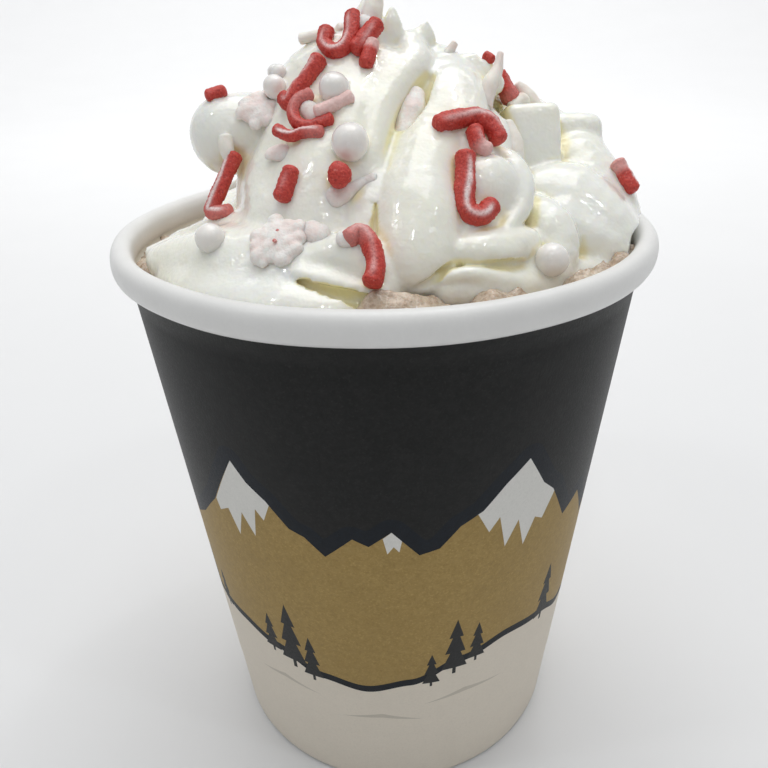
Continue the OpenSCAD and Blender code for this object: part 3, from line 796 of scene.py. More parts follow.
def pearl_material():
    n = Nodes("sugar_pearl")
    wide = n.noise(3.0, 2.0, 0.5)
    lw = n.t.nodes.new("ShaderNodeLayerWeight")
    lw.inputs["Blend"].default_value = 0.35
    body = n.mix(n.ramp(wide, [(0.3, 0.0), (0.7, 1.0)]), (0.90, 0.87, 0.83), (0.87, 0.84, 0.80))
    n.set(Base_Color=body, Roughness=n.ramp(n.noise(0.6), [(0.3, 0.18), (0.7, 0.28)]))
    b = n.bsdf
    b.inputs["Subsurface Weight"].default_value = 0.3
    b.inputs["Subsurface Radius"].default_value = (1.0, 0.85, 0.7)
    b.inputs["Subsurface Scale"].default_value = 1.2 * MM
    b.inputs["Coat Weight"].default_value = 0.7
    b.inputs["Coat Roughness"].default_value = 0.09
    b.inputs["Sheen Weight"].default_value = 0.25
    b.inputs["Sheen Roughness"].default_value = 0.4
    b.inputs["Sheen Tint"].default_value = (0.9, 0.92, 1.0, 1)
    n.set(Normal=n.bump(n.noise(0.5, 2.0, 0.5), 0.04, 0.5))
    return n.mat


def flake_material(name, a, b_):
    """Crumbly pressed sugar, white to pale pink."""
    n = Nodes(name)
    grain = n.noise(0.35, 2.0, 0.6)
    blot = n.noise(2.2, 2.0, 0.55)
    c = n.mix(n.ramp(blot, [(0.38, 0.0), (0.66, 1.0)]), a, b_)
    c = n.mix(n.ramp(grain, [(0.25, 0.35), (0.6, 0.0)]), c, tuple(v * 0.86 for v in b_))
    n.set(Base_Color=c, Roughness=n.ramp(grain, [(0.2, 0.40), (0.8, 0.6)]))
    b = n.bsdf
    b.inputs["Subsurface Weight"].default_value = 0.45
    b.inputs["Subsurface Radius"].default_value = (1.0, 0.7, 0.6)
    b.inputs["Subsurface Scale"].default_value = 1.5 * MM
    n.set(Normal=n.bump(n.math("ADD", grain, blot), 0.16, 0.6))
    return n.mat


def stick_material():
    """White and cream sugar sticks, some tinged pink."""
    n = Nodes("stick_sugar")
    grain = n.noise(0.4, 2.0, 0.6)
    blot = n.noise(1.8, 2.0, 0.55)
    c = n.mix(n.ramp(blot, [(0.35, 0.0), (0.7, 1.0)]), (0.90, 0.86, 0.79), (0.85, 0.80, 0.71))
    p = n.mix(n.ramp(blot, [(0.3, 0.0), (0.7, 1.0)]), (0.85, 0.66, 0.62), (0.80, 0.72, 0.68))
    n.set(Base_Color=n.mix(n.attr("pink"), c, p), Roughness=n.ramp(grain, [(0.2, 0.36), (0.8, 0.52)]))
    b = n.bsdf
    b.inputs["Subsurface Weight"].default_value = 0.4
    b.inputs["Subsurface Radius"].default_value = (1.0, 0.75, 0.6)
    b.inputs["Subsurface Scale"].default_value = 1.2 * MM
    n.set(Normal=n.bump(n.math("ADD", grain, blot), 0.10, 0.6))
    return n.mat


def floor_material():
    n = Nodes("studio_floor")
    w = n.noise(60.0, 2.0, 0.5)
    n.set(Base_Color=n.mix(w, (0.79, 0.79, 0.79), (0.81, 0.81, 0.81)), Roughness=0.7)
    n.bsdf.inputs["Specular IOR Level"].default_value = 0.2
    return n.mat


# --------------------------------------------------------------------- cup
def line_at(pts, x):
    return np.interp(x, [p[0] for p in pts], [p[1] for p in pts])


def rounded(pts, n):
    """Corner-cutting of a closed outline (Chaikin), n passes."""
    p = [tuple(q) for q in pts]
    for _ in range(n):
        o = []
        for a, b in zip(p, p[1:] + p[:1]):
            o.append((a[0] * 0.82 + b[0] * 0.18, a[1] * 0.82 + b[1] * 0.18))
            o.append((a[0] * 0.18 + b[0] * 0.82, a[1] * 0.18 + b[1] * 0.82))
        p = o
    return p


# the printed fields, as (degrees round the cup from its front, height mm)
RANGE = [(-180, 47), (-168, 53), (-160, 50), (-146, 61), (-133, 49), (-124, 53), (-111, 44), (-99, 52),
         (-88, 46), (-74, 55), (-64, 48), (-55, 51.5), (-46, 57), (-36, 66.5), (-32.5, 63.6), (-28, 61.4), (-23, 57.5), (-19.5, 56.6),
         (-15, 53.6), (-8.5, 57.4), (-5, 56.2), (0, 58.8), (6, 54.4), (10.5, 55.2), (15, 58.6), (20, 60.4), (25, 64), (30.4, 67),
         (36, 61.5), (40, 59.2), (47, 52), (54, 54), (63, 46), (75, 53.5), (87, 44), (100, 57), (113, 47), (126, 55),
         (137, 48.5), (149, 58.5), (163, 49.5), (171, 51), (180, 47)]
BAND = 2.3
HILLS = [(-180, 27), (-165, 30), (-145, 31.5), (-120, 27), (-100, 25), (-80, 28), (-62, 31), (-48, 31), (-34, 29.4),
         (-20, 26.2), (-8, 24.8), (4, 26.4), (18, 30), (32, 32), (46, 31), (60, 27.8), (78, 25.5), (98, 28), (118, 31.2),
         (138, 30), (158, 26.8), (180, 27)]


def hills(x):
    p = np.array(HILLS, float)
    i = np.clip(np.searchsorted(p[:, 0], x) - 1, 0, len(p) - 2)
    t = (x - p[i, 0]) / (p[i + 1, 0] - p[i, 0])
    t = t * t * (3 - 2 * t)
    return p[i, 1] * (1 - t) + p[i + 1, 1] * t


CAPS = [  # pale snow on the peaks
    [(-36, 66.5), (-32.5, 63.6), (-28, 61.4), (-27.2, 60.8), (-29.5, 57.6), (-31.5, 59.2), (-33.2, 53.8), (-36.2, 57.4), (-38.6, 52.6), (-41, 56.8), (-44.6, 55.4), (-45.4, 57.3)],
    [(30.4, 67), (25, 64), (20, 60.4), (18.8, 60), (22, 56.2), (24.4, 58.4), (26.8, 52.4), (29.8, 56.6), (32.4, 51.2), (35, 55.6), (37.6, 54.6), (40.6, 58.6), (40, 59.2), (36, 61.5)],
    [(-1.9, 57.7), (0, 58.8), (2.2, 57.2), (1.6, 55.2), (0.4, 56.2), (-1, 54.9)],
    [(-74, 55), (-69.5, 51.9), (-71.6, 49.4), (-74, 51.4), (-76.5, 48.8), (-79, 51.6)],
    [(100, 57), (95.2, 51.9), (97.5, 50.6), (100, 53), (102.6, 49.8), (105.8, 52.5)],
    [(-146, 61), (-151.2, 56.8), (-148.5, 54.2), (-146, 57), (-143, 53.2), (-139.8, 55.3)],
    [(149, 58.5), (143.6, 53.9), (146.4, 52), (149, 55), (152, 51.5), (155, 54.7)],
]


def pine(x, z, w, hgt):
    """Outline of a simple pine: three tiers on a trunk."""
    return [(x, z + hgt), (x + w * 0.27, z + hgt * 0.68), (x + w * 0.14, z + hgt * 0.68), (x + w * 0.39, z + hgt * 0.40),
            (x + w * 0.20, z + hgt * 0.40), (x + w * 0.5, z + hgt * 0.11), (x + w * 0.07, z + hgt * 0.11), (x + w * 0.07, z),
            (x - w * 0.07, z), (x - w * 0.07, z + hgt * 0.11), (x - w * 0.5, z + hgt * 0.11), (x - w * 0.20, z + hgt * 0.40),
            (x - w * 0.39, z + hgt * 0.40), (x - w * 0.14, z + hgt * 0.68), (x - w * 0.27, z + hgt * 0.68)]


PINES = [pine(-29, 26.6, 8.2, 14.5), pine(-23.2, 25.0, 6.2, 10.2), pine(-36, 28.2, 5.6, 8.8),
         pine(16.2, 27.6, 7.4, 12.4), pine(22.4, 29.2, 5.4, 8.8), pine(9.8, 25.6, 5.0, 7.6), pine(47, 29.5, 7.4, 12.6),
         pine(-66, 29.5, 7.0, 11.5), pine(-57.5, 29.8, 5.4, 8.4), pine(92, 25.5, 7.6, 12.8), pine(104, 27, 5.6, 9),
         pine(-112, 24.5, 7.8, 13), pine(-101.5, 23.5, 5.4, 8.8), pine(150, 26.2, 7.6, 12.4), pine(-152, 29.6, 7.2, 12), pine(126, 29.8, 5.4, 8.6)]
# white drifts, drawn as thin pale-grey strokes on the off-white field
DRIFTS = [[(-44, 21.6), (-34, 23.2), (-22, 21.6), (-34, 22.3)], [(8, 21.2), (20, 23.2), (33, 22.4), (20, 22.2)], [(-16, 17.6), (-4, 19.2), (8, 17.4), (-4, 18.2)],
          [(60, 21), (72, 22.6), (84, 20.6), (72, 21.6)], [(-90, 20), (-78, 21.8), (-66, 20.4), (-78, 20.9)], [(120, 22), (133, 23.8), (146, 22), (133, 22.8)], [(-140, 22.6), (-128, 24), (-116, 22), (-128, 23)]]


def inside(poly, x, y):
    x = np.asarray(x)
    y = np.asarray(y)
    r = np.zeros(x.shape, bool)
    px, py = zip(*poly)
    j = len(poly) - 1
    for i in range(len(poly)):
        c = (py[i] > y) != (py[j] > y)
        with np.errstate(divide="ignore", invalid="ignore"):
            xi = (px[j] - px[i]) * (y - py[i]) / (py[j] - py[i] + 1e-12) + px[i]
        r ^= c & (x < xi)
        j = i
    return r


def flap(th):
    """Extra radius where the wall's sheet overlaps itself, at the back."""
    return 0.32 * np.clip((th - 164.0) / 4.0, 0, 1)


def wall_radius(th, z):
    """Outer radius of the wall: the cone, the overlap at the back and the
    line pressed in where the base disc is crimped."""
    g = 0.10 * np.exp(-((z - 12.9) / 0.45) ** 2) + 0.07 / (1 + np.exp((z - 12.7) / 0.25))
    wob = 0.05 * np.sin(np.radians(th) * 3 + 0.7) * np.clip(z / 90, 0, 1)
    return outer_r(z) + flap(th) - g + wob


def build_wall():
    z_lo, z_hi = 1.0, 86.6
    cols = 180
    K = math.pi / 180 * 35.0            # degrees to mm at mid height, for the flat layout
    pts, edges = [], []

    def add_line(line, closed=False, step=1.6):
        first = len(pts)
        q = list(line) + ([line[0]] if closed else [])
        for a, b in zip(q, q[1:]):
            n = max(1, int(math.ceil(math.hypot((b[0] - a[0]) * K, b[1] - a[1]) / step)))
            for i in range(n):
                t = i / n
                pts.append((a[0] + (b[0] - a[0]) * t, a[1] + (b[1] - a[1]) * t))
        if not closed:
            pts.append(tuple(q[-1]))
        for i in range(first, len(pts) - 1):
            edges.append((i, i + 1))
        if closed:
            edges.append((len(pts) - 1, first))

    # frame of the sheet
    top = [(-180 + 360 * i / cols, z_hi) for i in range(cols + 1)]
    bot = [(-180 + 360 * i / cols, z_lo) for i in range(cols + 1)]
    add_line(top, step=50)
    add_line(bot, step=50)
    side_z = list(np.linspace(z_lo, z_hi, 46))
    add_line([(-180, z) for z in side_z], step=50)
    add_line([(180, z) for z in side_z], step=50)
    # printed outlines
    rx = np.arange(-180, 180.01, 1.0)
    add_line(RANGE)
    dense = smooth_line(RANGE)
    band = offset_line(dense, BAND)
    add_line(band)
    add_line([(float(x), float(hills(x))) for x in rx])
    add_line([(float(x), float(hills(x)) + 1.5) for x in rx])
    for poly in CAPS + PINES + DRIFTS:
        add_line(poly, closed=True, step=1.2)
    n_lines = len(pts)
    # filling points
    for j, z in enumerate(np.concatenate([np.arange(z_lo + 1.5, 11.5, 2.2), np.arange(11.8, 14.3, 0.3), np.arange(15.5, z_hi - 1, 2.6)])):
        off = (j % 2)
        for i in range(cols):
            x = -180 + 360 * (i + 0.5 * off) / cols
            if -179.2 < x < 179.2:
                pts.append((x, z))
    for x in (164, 165, 166, 167, 168):
        for z in side_z:
            pts.append((x + 0.01, z))
    v2 = [Vector((p[0] * K, p[1])) for p in pts]
    out = geometry.delaunay_2d_cdt(v2, edges, [], 0, 1e-4)
    vo, fo = out[0], out[2]
    th = np.array([v.x / K for v in vo])
    z = np.array([v.y for v in vo])
    tri = np.array([f for f in fo if len(f) == 3])
    cx, cz = th[tri].mean(1), z[tri].mean(1)
    ok = (cz > z_lo) & (cz < z_hi) & (np.abs(cx) < 180)
    area = np.abs((th[tri[:, 1]] - th[tri[:, 0]]) * (z[tri[:, 2]] - z[tri[:, 0]]) - (th[tri[:, 2]] - th[tri[:, 0]]) * (z[tri[:, 1]] - z[tri[:, 0]]))
    tri, cx, cz = tri[ok & (area > 1e-7)], cx[ok & (area > 1e-7)], cz[ok & (area > 1e-7)]
    mat = np.zeros(len(tri), int)                                   # 0 charcoal
    band_poly = band + [(181, -5), (-181, -5)]
    mat[inside(band_poly, cx, cz)] = 1                              # 1 dark band
    mat[cz < line_at(RANGE, cx)] = 2                                # 2 tan
    for poly in CAPS:
        mat[inside(poly, cx, cz)] = 3                               # 3 pale
    mat[cz < hills(cx) + 1.5] = 1
    mat[cz < hills(cx)] = 4                                         # 4 off-white
    for poly in DRIFTS:
        mat[inside(poly, cx, cz)] = 6                               # 6 soft grey
    for poly in PINES:
        mat[inside(poly, cx, cz)] = 5                               # 5 near black
    r = wall_radius(th, z)
    a = np.radians(th)
    co = np.stack([r * np.sin(a), -r * np.cos(a), z], 1)
    return co, tri, mat, th, z, z_lo, z_hi, cols


def smooth_line(line):
    out = []
    for a, b in zip(line, line[1:]):
        n = max(1, int(abs(b[0] - a[0]) / 0.8))
        out += [(a[0] + (b[0] - a[0]) * i / n, a[1] + (b[1] - a[1]) * i / n) for i in range(n)]
    return out + [line[-1]]


def offset_line(line, w):
    """The upper outline of a band of width w along a line, peaks rounded."""
    K = math.pi / 180 * 35.0
    p = np.array(line)
    p = np.stack([p[:, 0] * K, p[:, 1]], 1)
    xs = np.arange(-180, 180.001, 0.75) * K
    out = []
    for x in xs:
        near = p[np.abs(p[:, 0] - x) < w]
        h = near[:, 1] + np.sqrt(np.maximum(0, w * w - (near[:, 0] - x) ** 2))
        out.append((x / K, float(h.max())))
    return out


def build_cup(mats):
    co, tri, mat, th, z, z_lo, z_hi, cols = build_wall()
    verts = [tuple(c) for c in co]
    faces = [tuple(int(i) for i in t) for t in tri]
    # faces look outward
    a, b, c = co[tri[:, 0]], co[tri[:, 1]], co[tri[:, 2]]
    nr = np.cross(b - a, c - a)
    mid = (a + b + c) / 3
    turn = (nr[:, 0] * mid[:, 0] + nr[:, 1] * mid[:, 1]) < 0
    faces = [f[::-1] if t else f for f, t in zip(faces, turn)]
    mat = list(mat)

    # everything else is a lathe shape: roll, inner wall, folded foot
    prof = []          # (radius from profile, z, material)
    rc, hw, hh, zc = RIM_R - 1.6, 1.6, 2.15, CUP_H - 2.15
    # start under the roll on the outside
    start = math.degrees(math.asin(max(-1, min(1, (z_hi - zc) / hh))))
    prof.append(("w", z_hi, 7))
    for d in np.linspace(-62, 236, 34):
        t = math.radians(d)
        prof.append((rc + hw * math.copysign(abs(math.cos(t)) ** 0.9, math.cos(t)), zc + hh * math.copysign(abs(math.sin(t)) ** 0.9, math.sin(t)), 7))
    for zz in (86.2, 84.5, 82, 70, 50, 30, 12, 8.3):
        prof.append((inner_r(zz), zz, 8))
    for r_, zz in ((28.25, 8.25), (28.1, 7.9), (27.95, 6.5), (27.75, 3.5), (27.62, 1.2), (27.75, 0.45), (28.2, 0.08), (28.8, 0.0), (29.35, 0.05), (29.8, 0.35)):
        prof.append((r_, zz, 9))
    prof.append(("w", z_lo, 4))
    rows = []
    base = len(verts)
    for k, (r_, zz, m_) in enumerate(prof):
        row = []
        for i in range(cols + 1):
            t = -180 + 360 * i / cols
            if r_ == "w":
                rr = float(wall_radius(np.array(t), np.array(zz)))
            else:
                wob = 0.05 * math.sin(math.radians(t) * 3 + 0.7) * min(1, zz / 90)
                rr = r_ + wob
                if m_ == 7:
                    ang = math.radians(t)
                    rr += 0.07 * math.sin(ang * 5 + 1.1) + 0.04 * math.sin(ang * 11 + 0.4)
                    bumpy = math.exp(-((t - 172) / 7.0) ** 2)
                    rr += bumpy * 0.22 * (1 if r_ > rc else -0.6)
                elif zz < 1.0 and r_ > 29:
                    rr += float(flap(t)) * 0.8
            zz2 = zz
            if m_ == 7 and r_ != "w":
                ang = math.radians(t)
                zz2 = zz + 0.06 * math.sin(ang * 4 + 0.3) + 0.03 * math.sin(ang * 9 + 2) - 0.09
                if zz > zc:
                    zz2 += 0.0
            a_ = math.radians(t)
            row.append(len(verts))
            verts.append((rr * math.sin(a_), -rr * math.cos(a_), zz2))
        rows.append(row)
    for k in range(len(rows) - 1):
        m_ = prof[k + 1][2]
        for i in range(cols):
            faces.append((rows[k][i], rows[k][i + 1], rows[k + 1][i + 1], rows[k + 1][i]))
            mat.append(m_)
    ob = new_object("paper_cup", verts, faces, True, mat)
    bm = bmesh.new()
    bm.from_mesh(ob.data)
    bmesh.ops.remove_doubles(bm, verts=bm.verts, dist=0.00002)
    # close the step where the sheet overlaps itself
    edges = [e for e in bm.edges if len(e.link_faces) == 1]
    if edges:
        got = bmesh.ops.holes_fill(bm, edges=edges, sides=0)["faces"]
        got = bmesh.ops.triangulate(bm, faces=got)["faces"]
        for f in got:                   # the sheet's cut edge, left unprinted
            f.material_index = 4
            f.smooth = False
            for e in f.edges:
                e.smooth = False
    bmesh.ops.recalc_face_normals(bm, faces=bm.faces)
    open_edges = sum(len(e.link_faces) != 2 for e in bm.edges)
    bm.to_mesh(ob.data)
    bm.free()
    print("cup: open edges", open_edges)
    for m_ in mats:
        ob.data.materials.append(m_)
    return ob


# ------------------------------------------------------------------- drink
def build_drink():
    """The drink up to its foamy skin; it reaches just into the paper."""
    rng = np.random.default_rng(5)
    rings = list(np.linspace(0.6, 20, 12)) + list(np.linspace(20.6, inner_r(LEVEL) + 0.5, 60))
    nth = 600
    th = np.radians(np.arange(nth) * 360 / nth)
    R, T = np.meshgrid(rings, th, indexing="ij")
    X, Y = R * np.sin(T), -R * np.cos(T)
    Z = np.full_like(X, LEVEL)
    # mounds of froth where the cream has melted into the drink
    for x, y, hgt, w in ((-1.0, -30.8, 3.3, 3.0), (4.6, -30.6, 3.2, 3.2), (1.8, -31.4, 1.2, 2.0), (-6.5, -31, 1.2, 3.2), (12.6, -29.0, 3.4, 3.0), (17.0, -27.2, 1.6, 2.6),
                         (24.8, -22.8, 3.0, 2.3), (28.2, -20.2, 3.4, 2.3), (31.4, -16.4, 3.3, 2.3), (33.8, -12.2, 2.6, 2.2), (-34.6, -8.6, 1.6, 2.2), (-32.5, -14, 1.2, 2.6), (-33.5, 4, 1.1, 3), (33.5, 8, 1.1, 3.2), (14, 31.5, 1.2, 3.6), (-14, 30, 1.3, 3.4), (-25, 21, 1.4, 3.4)):
        Z += hgt * np.exp(-((X - x) ** 2 + (Y - y) ** 2) / (w * w))
    for wave, amp in ((5.0, 0.28), (2.2, 0.14), (1.1, 0.05)):
        for _ in range(7):
            a, ph = rng.uniform(0, math.pi * 2), rng.uniform(0, 6.28)
            Z += amp * 0.5 * np.sin((X * math.cos(a) + Y * math.sin(a)) * 2 * math.pi / wave / rng.uniform(0.8, 1.3) + ph)
    # bubbles, as low domes, mostly near the wall
    nb = 900
    br = 36.6 - np.abs(rng.normal(0, 3.2, nb))
    bt = rng.uniform(0, 2 * math.pi, nb)
    bs = rng.uniform(0.22, 0.75, nb) ** 1.3 * 1.1
    for r_, t_, s_ in zip(br, bt, bs):
        bx, by = r_ * math.sin(t_), -r_ * math.cos(t_)
        i0, i1 = np.searchsorted(rings, [r_ - s_ - 0.1, r_ + s_ + 0.1])
        w = s_ / max(r_, 1) + 0.01
        j = np.nonzero(np.abs((th - t_ + math.pi) % (2 * math.pi) - math.pi) < w)[0]
        if i1 <= i0 or len(j) == 0:
            continue
        ix = np.ix_(range(i0, min(i1, len(rings))), j)
        d2 = (X[ix] - bx) ** 2 + (Y[ix] - by) ** 2
        Z[ix] += np.sqrt(np.maximum(0, s_ * s_ - d2)) * 0.55
    edge = np.clip((R - (inner_r(LEVEL) - 1.0)) / 1.0, 0, 1)
    Z += 0.35 * edge ** 2
    verts = [(0, 0, LEVEL)]
    faces = []
    idx = np.arange(R.size).reshape(R.shape) + 1
    verts += list(zip(X.ravel(), Y.ravel(), Z.ravel()))
    n = nth
    for j in range(n):
        faces.append((0, idx[0, j], idx[0, (j + 1) % n]))
    for i in range(len(rings) - 1):
        for j in range(n):
            k = (j + 1) % n
            faces.append((idx[i, j], idx[i + 1, j], idx[i + 1, k], idx[i, k]))
    # side and flat bottom
    last = idx[-1]
    for zz in (LEVEL - 1.2, 60, 30, 8.4):
        first = len(verts)
        rr = inner_r(zz) + 0.45
        verts += [(rr * math.sin(t), -rr * math.cos(t), zz) for t in th]
        cur = np.arange(first, first + n)
        for j in range(n):
            k = (j + 1) % n
            faces.append((last[j], cur[j], cur[k], last[k]))
        last = cur
    faces.append(tuple(int(v) for v in last))
    faces = [tuple(int(v) for v in f) for f in faces]
    ob = new_object("cocoa_drink", verts, faces)
    bm = bmesh.new()
    bm.from_mesh(ob.data)
    bmesh.ops.recalc_face_normals(bm, faces=bm.faces)
    bm.to_mesh(ob.data)
    bm.free()
    ob.data.materials.append(foam_material())
    return ob


# -------------------------------------------------------- sprinkle meshes
def rods_along(pts, step):
    """Evenly spaced points on a smooth curve, any number of columns."""
    fine = smooth_path(pts, 240)
    run = np.concatenate([[0], np.cumsum(np.linalg.norm(np.diff(fine[:, :3], axis=0), axis=1))])
    n = max(6, int(run[-1] / step))
    t = np.linspace(0, run[-1], n + 1)
    return np.stack([np.interp(t, run, fine[:, i]) for i in range(fine.shape[1])], 1), run[-1]


def stick(store, pts, face, seed, streak=0.0, pink=(0.0, 0.0), around=22, step=0.24, grain=0.07, blunt=0.6):
    """One grainy stick of pressed sugar with rounded ends, along pts = (x, y, z, r)."""
    c, length = rods_along(pts, step)
    rng = np.random.default_rng(seed)
    tang = np.gradient(c[:, :3], axis=0)
    tang /= np.linalg.norm(tang, axis=1)[:, None]
    f = np.array(face, float)
    u = f - (tang @ f)[:, None] * tang
    u /= np.linalg.norm(u, axis=1)[:, None]
    w = np.cross(tang, u)
    # the ends are drawn in over a length of blunt radii
    r0, r1 = c[0, 3], c[-1, 3]
    rings = []
    for i, a in enumerate(np.linspace(90, 8, 6)):
        k = math.radians(a)
        rings.append((c[0, :3] - tang[0] * r0 * blunt * math.sin(k), u[0], w[0], r0 * math.cos(k), 0.0))
    run = np.concatenate([[0], np.cumsum(np.linalg.norm(np.diff(c[:, :3], axis=0), axis=1))])
    for i in range(len(c)):
        rings.append((c[i, :3], u[i], w[i], c[i, 3], run[i] / length))
    for a in np.linspace(8, 90, 6):
        k = math.radians(a)
        rings.append((c[-1, :3] + tang[-1] * r1 * blunt * math.sin(k), u[-1], w[-1], r1 * math.cos(k), 1.0))
    wob = rng.uniform(0, 6.28, 8)
    base = len(store["v"])
    n = around
    for k, (p, uu, ww, r, t) in enumerate(rings):
        s_ = t * length
        if r < 1e-3:
            r = 1e-3
        for j in range(n):
            a = 2 * math.pi * j / n
            rr = r * (1 + 0.05 * math.sin(2 * a + wob[0]) + 0.035 * math.sin(3 * a + wob[1] + s_ * 0.7)
                      + 0.04 * math.sin(s_ * 1.3 + wob[2]) + 0.025 * math.sin(s_ * 3.1 + wob[3] + a * 2))
            rr += grain * rng.uniform(-1, 1) * min(1, r)
            store["v"].append(p + (uu * math.cos(a) + ww * math.sin(a)) * rr)
            st = math.exp(-((math.atan2(math.sin(a - 0.25 * math.sin(s_ * 0.5 + wob[4])), math.cos(a - 0.25 * math.sin(s_ * 0.5 + wob[4])))) / 0.27) ** 2)
            ends = min(1.0, max(0.0, min(t, 1 - t) * length / 1.2))
            gap = 0.55 + 0.45 * math.sin(s_ * 0.9 + wob[5])
            store["white"].append(min(1.0, 1.7 * streak * st * ends * (0.5 + 0.6 * gap)))
            pk = pink[0] * max(0.0, min(1.0, (0.45 - t) / 0.25)) + pink[1] * max(0.0, min(1.0, (t - 0.55) / 0.25))
            if pink[0] > 0.9 and pink[1] > 0.9:
                pk = 1.0
            store["pink"].append(min(1.0, pk))
    m_ = len(rings)
    for k in range(m_ - 1):
        for j in range(n):
            q = (j + 1) % n
            store["f"].append((base + k * n + j, base + k * n + q, base + (k + 1) * n + q, base + (k + 1) * n + j))
    store["f"].append(tuple(base + j for j in range(n))[::-1])
    store["f"].append(tuple(base + (m_ - 1) * n + j for j in range(n)))


def finish_store(store, name, material):
    ob = new_object(name, store["v"], store["f"])
    for key in ("white", "pink"):
        if key in store:
            at = ob.data.attributes.new(key, "FLOAT", "POINT")
            at.data.foreach_set("value", np.array(store[key], np.float32))
    bm = bmesh.new()
    bm.from_mesh(ob.data)
    bmesh.ops.recalc_face_normals(bm, faces=bm.faces)
    bm.to_mesh(ob.data)
    bm.free()
    ob.data.materials.append(material)
    return ob


def build_canes(items):
    store = {"v": [], "f": [], "white": [], "pink": []}
    for i, (pts, face, streak, pink) in enumerate(items):
        small = pts[0][3] < 0.5
        stick(store, pts, face, 100 + i, streak, pink, around=12 if small else 32, step=0.12 if small else 0.19, grain=0.03 if small else 0.075)
    return finish_store(store, "candy_canes", cane_material())


def build_rods(items):
    store = {"v": [], "f": [], "white": [], "pink": []}
    for i, (pts, face, pink) in enumerate(items):
        stick(store, pts, face, 300 + i, 0.0, (pink, pink * 0.7), around=22, step=0.25, grain=0.03, blunt=0.45)
    return finish_store(store, "sugar_sticks", stick_material())


def build_pearls(items):
    """Slightly squashed, slightly pitted sugar pearls."""
    store = {"v": [], "f": []}
    for i, (c, r) in enumerate(items):
        rng = np.random.default_rng(500 + i)
        bm = bmesh.new()
        bmesh.ops.create_icosphere(bm, subdivisions=4, radius=1.0)
        base = len(store["v"])
        ph = rng.uniform(0, 6.28, 6)
        sq = rng.uniform(0.95, 1.03, 3)
        for v in bm.verts:
            p = np.array(v.co)
            d = 1 + 0.012 * math.sin(3 * p[0] + ph[0]) + 0.012 * math.sin(4 * p[1] + ph[1]) + 0.008 * math.sin(7 * p[2] + ph[2]) + 0.004 * math.sin(15 * p[0] + 9 * p[1] + ph[3])
            store["v"].append(np.array(c) + p * sq * r * d)
        for f in bm.faces:
            store["f"].append(tuple(base + v.index for v in f.verts))
        bm.free()
    return finish_store(store, "sugar_pearls", pearl_material())


def small_clay(lo, hi, h=0.22):
    return Clay(np.array(lo) - 1.2, np.array(hi) + 1.2, h)


def build_flakes(flakes, lumps):
    """Snowflakes of pressed sugar, half melted, and the loose lumps."""
    parts = []
    for i, (c, face, r, spin, thick) in enumerate(flakes):
        rng = np.random.default_rng(700 + i)
        n, a, b = axes_of(face, spin)
        c = np.array(c, float)
        cl = small_clay(c - r - 1, c + r + 1, 0.22)
        bead = lambda x, y, q: rope(cl, [tuple(c + a * x + b * y + n * 0.1) + (q,), tuple(c + a * (x + 0.2) + b * y + n * 0.1) + (q,)], 0.45, flat=1.1, face=n)
        bead(0, 0, thick * 1.05)
        for k in range(6):
            t = math.radians(60 * k + rng.uniform(-9, 9))
            x, y = math.cos(t), math.sin(t)
            m_ = r * rng.uniform(0.84, 1.0)
            bead(x * m_ * 0.40, y * m_ * 0.40, thick * rng.uniform(0.75, 0.95))
            bead(x * m_ * 0.80, y * m_ * 0.80, thick * rng.uniform(0.66, 0.86))
            t2 = t + math.radians(rng.uniform(26, 34))
            q = rng.uniform(0.58, 0.78)
            bead(math.cos(t2) * m_ * q, math.sin(t2) * m_ * q, thick * rng.uniform(0.62, 0.82))
            if rng.uniform() < 0.6:
                t3 = t + math.radians(rng.uniform(8, 20))
                bead(math.cos(t3) * m_ * 0.95, math.sin(t3) * m_ * 0.95, thick * rng.uniform(0.36, 0.5))
        cl.d += 0.10 * noise_block(cl.n, cl.h, 0.9, 40 + i) + 0.07 * noise_block(cl.n, cl.h, 0.45, 60 + i)
        parts.append(clay_mesh(cl, "flake_part"))
    for i, (pts, face, flat) in enumerate(lumps):
        p = np.array(pts)
        cl = small_clay(p[:, :3].min(0) - p[:, 3].max(), p[:, :3].max(0) + p[:, 3].max(), 0.22)
        rope(cl, pts, 0.5, flat=flat, face=face)
        cl.d += 0.16 * noise_block(cl.n, cl.h, 1.3, 80 + i) + 0.08 * noise_block(cl.n, cl.h, 0.6, 90 + i)
        parts.append(clay_mesh(cl, "flake_part"))
    verts, faces = [], []
    for ob in parts:
        base = len(verts)
        verts += [np.array(v.co) / MM for v in ob.data.vertices]
        faces += [tuple(base + k for k in f.vertices) for f in ob.data.polygons]
        me = ob.data
        bpy.data.objects.remove(ob)
        bpy.data.meshes.remove(me)
    return finish_store({"v": verts, "f": faces}, "sugar_flakes", flake_material("flake_sugar", (0.92, 0.885, 0.845), (0.89, 0.765, 0.72)))

# ----------------------------------------------------------------- assembly
cup = build_cup([
    paper("print_charcoal", (0.0112, 0.0114, 0.0108), 0.16, 0.56, tint=(0.0195, 0.020, 0.019), sheen=0.12, spec=0.2),
    paper("print_dark_band", (0.0062, 0.0090, 0.0135), 0.12, 0.52, tint=(0.010, 0.0145, 0.022), sheen=0.07, spec=0.2),
    paper("print_tan", (0.335, 0.222, 0.066), 0.09, 0.6, tint=(0.40, 0.28, 0.10), sheen=0.08),
    paper("print_pale", (0.72, 0.71, 0.67), 0.035, 0.6),
    paper("print_off_white", (0.73, 0.665, 0.565), 0.03, 0.58),
    paper("print_black", (0.011, 0.0115, 0.012), 0.12, 0.5),
    paper("print_grey", (0.56, 0.51, 0.43), 0.03, 0.6),
    rim_paper("rim_white", (0.80, 0.795, 0.775)),
    # inner wall: white paper tinted warm beige, which is painted reflected light
    paper("inner_wall_painted_reflection", (0.83, 0.80, 0.71), 0.03, 0.5),
    paper("foot_fold", (0.60, 0.575, 0.54), 0.04, 0.6),
])
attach(cup, "root")
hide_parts("cup_wall")

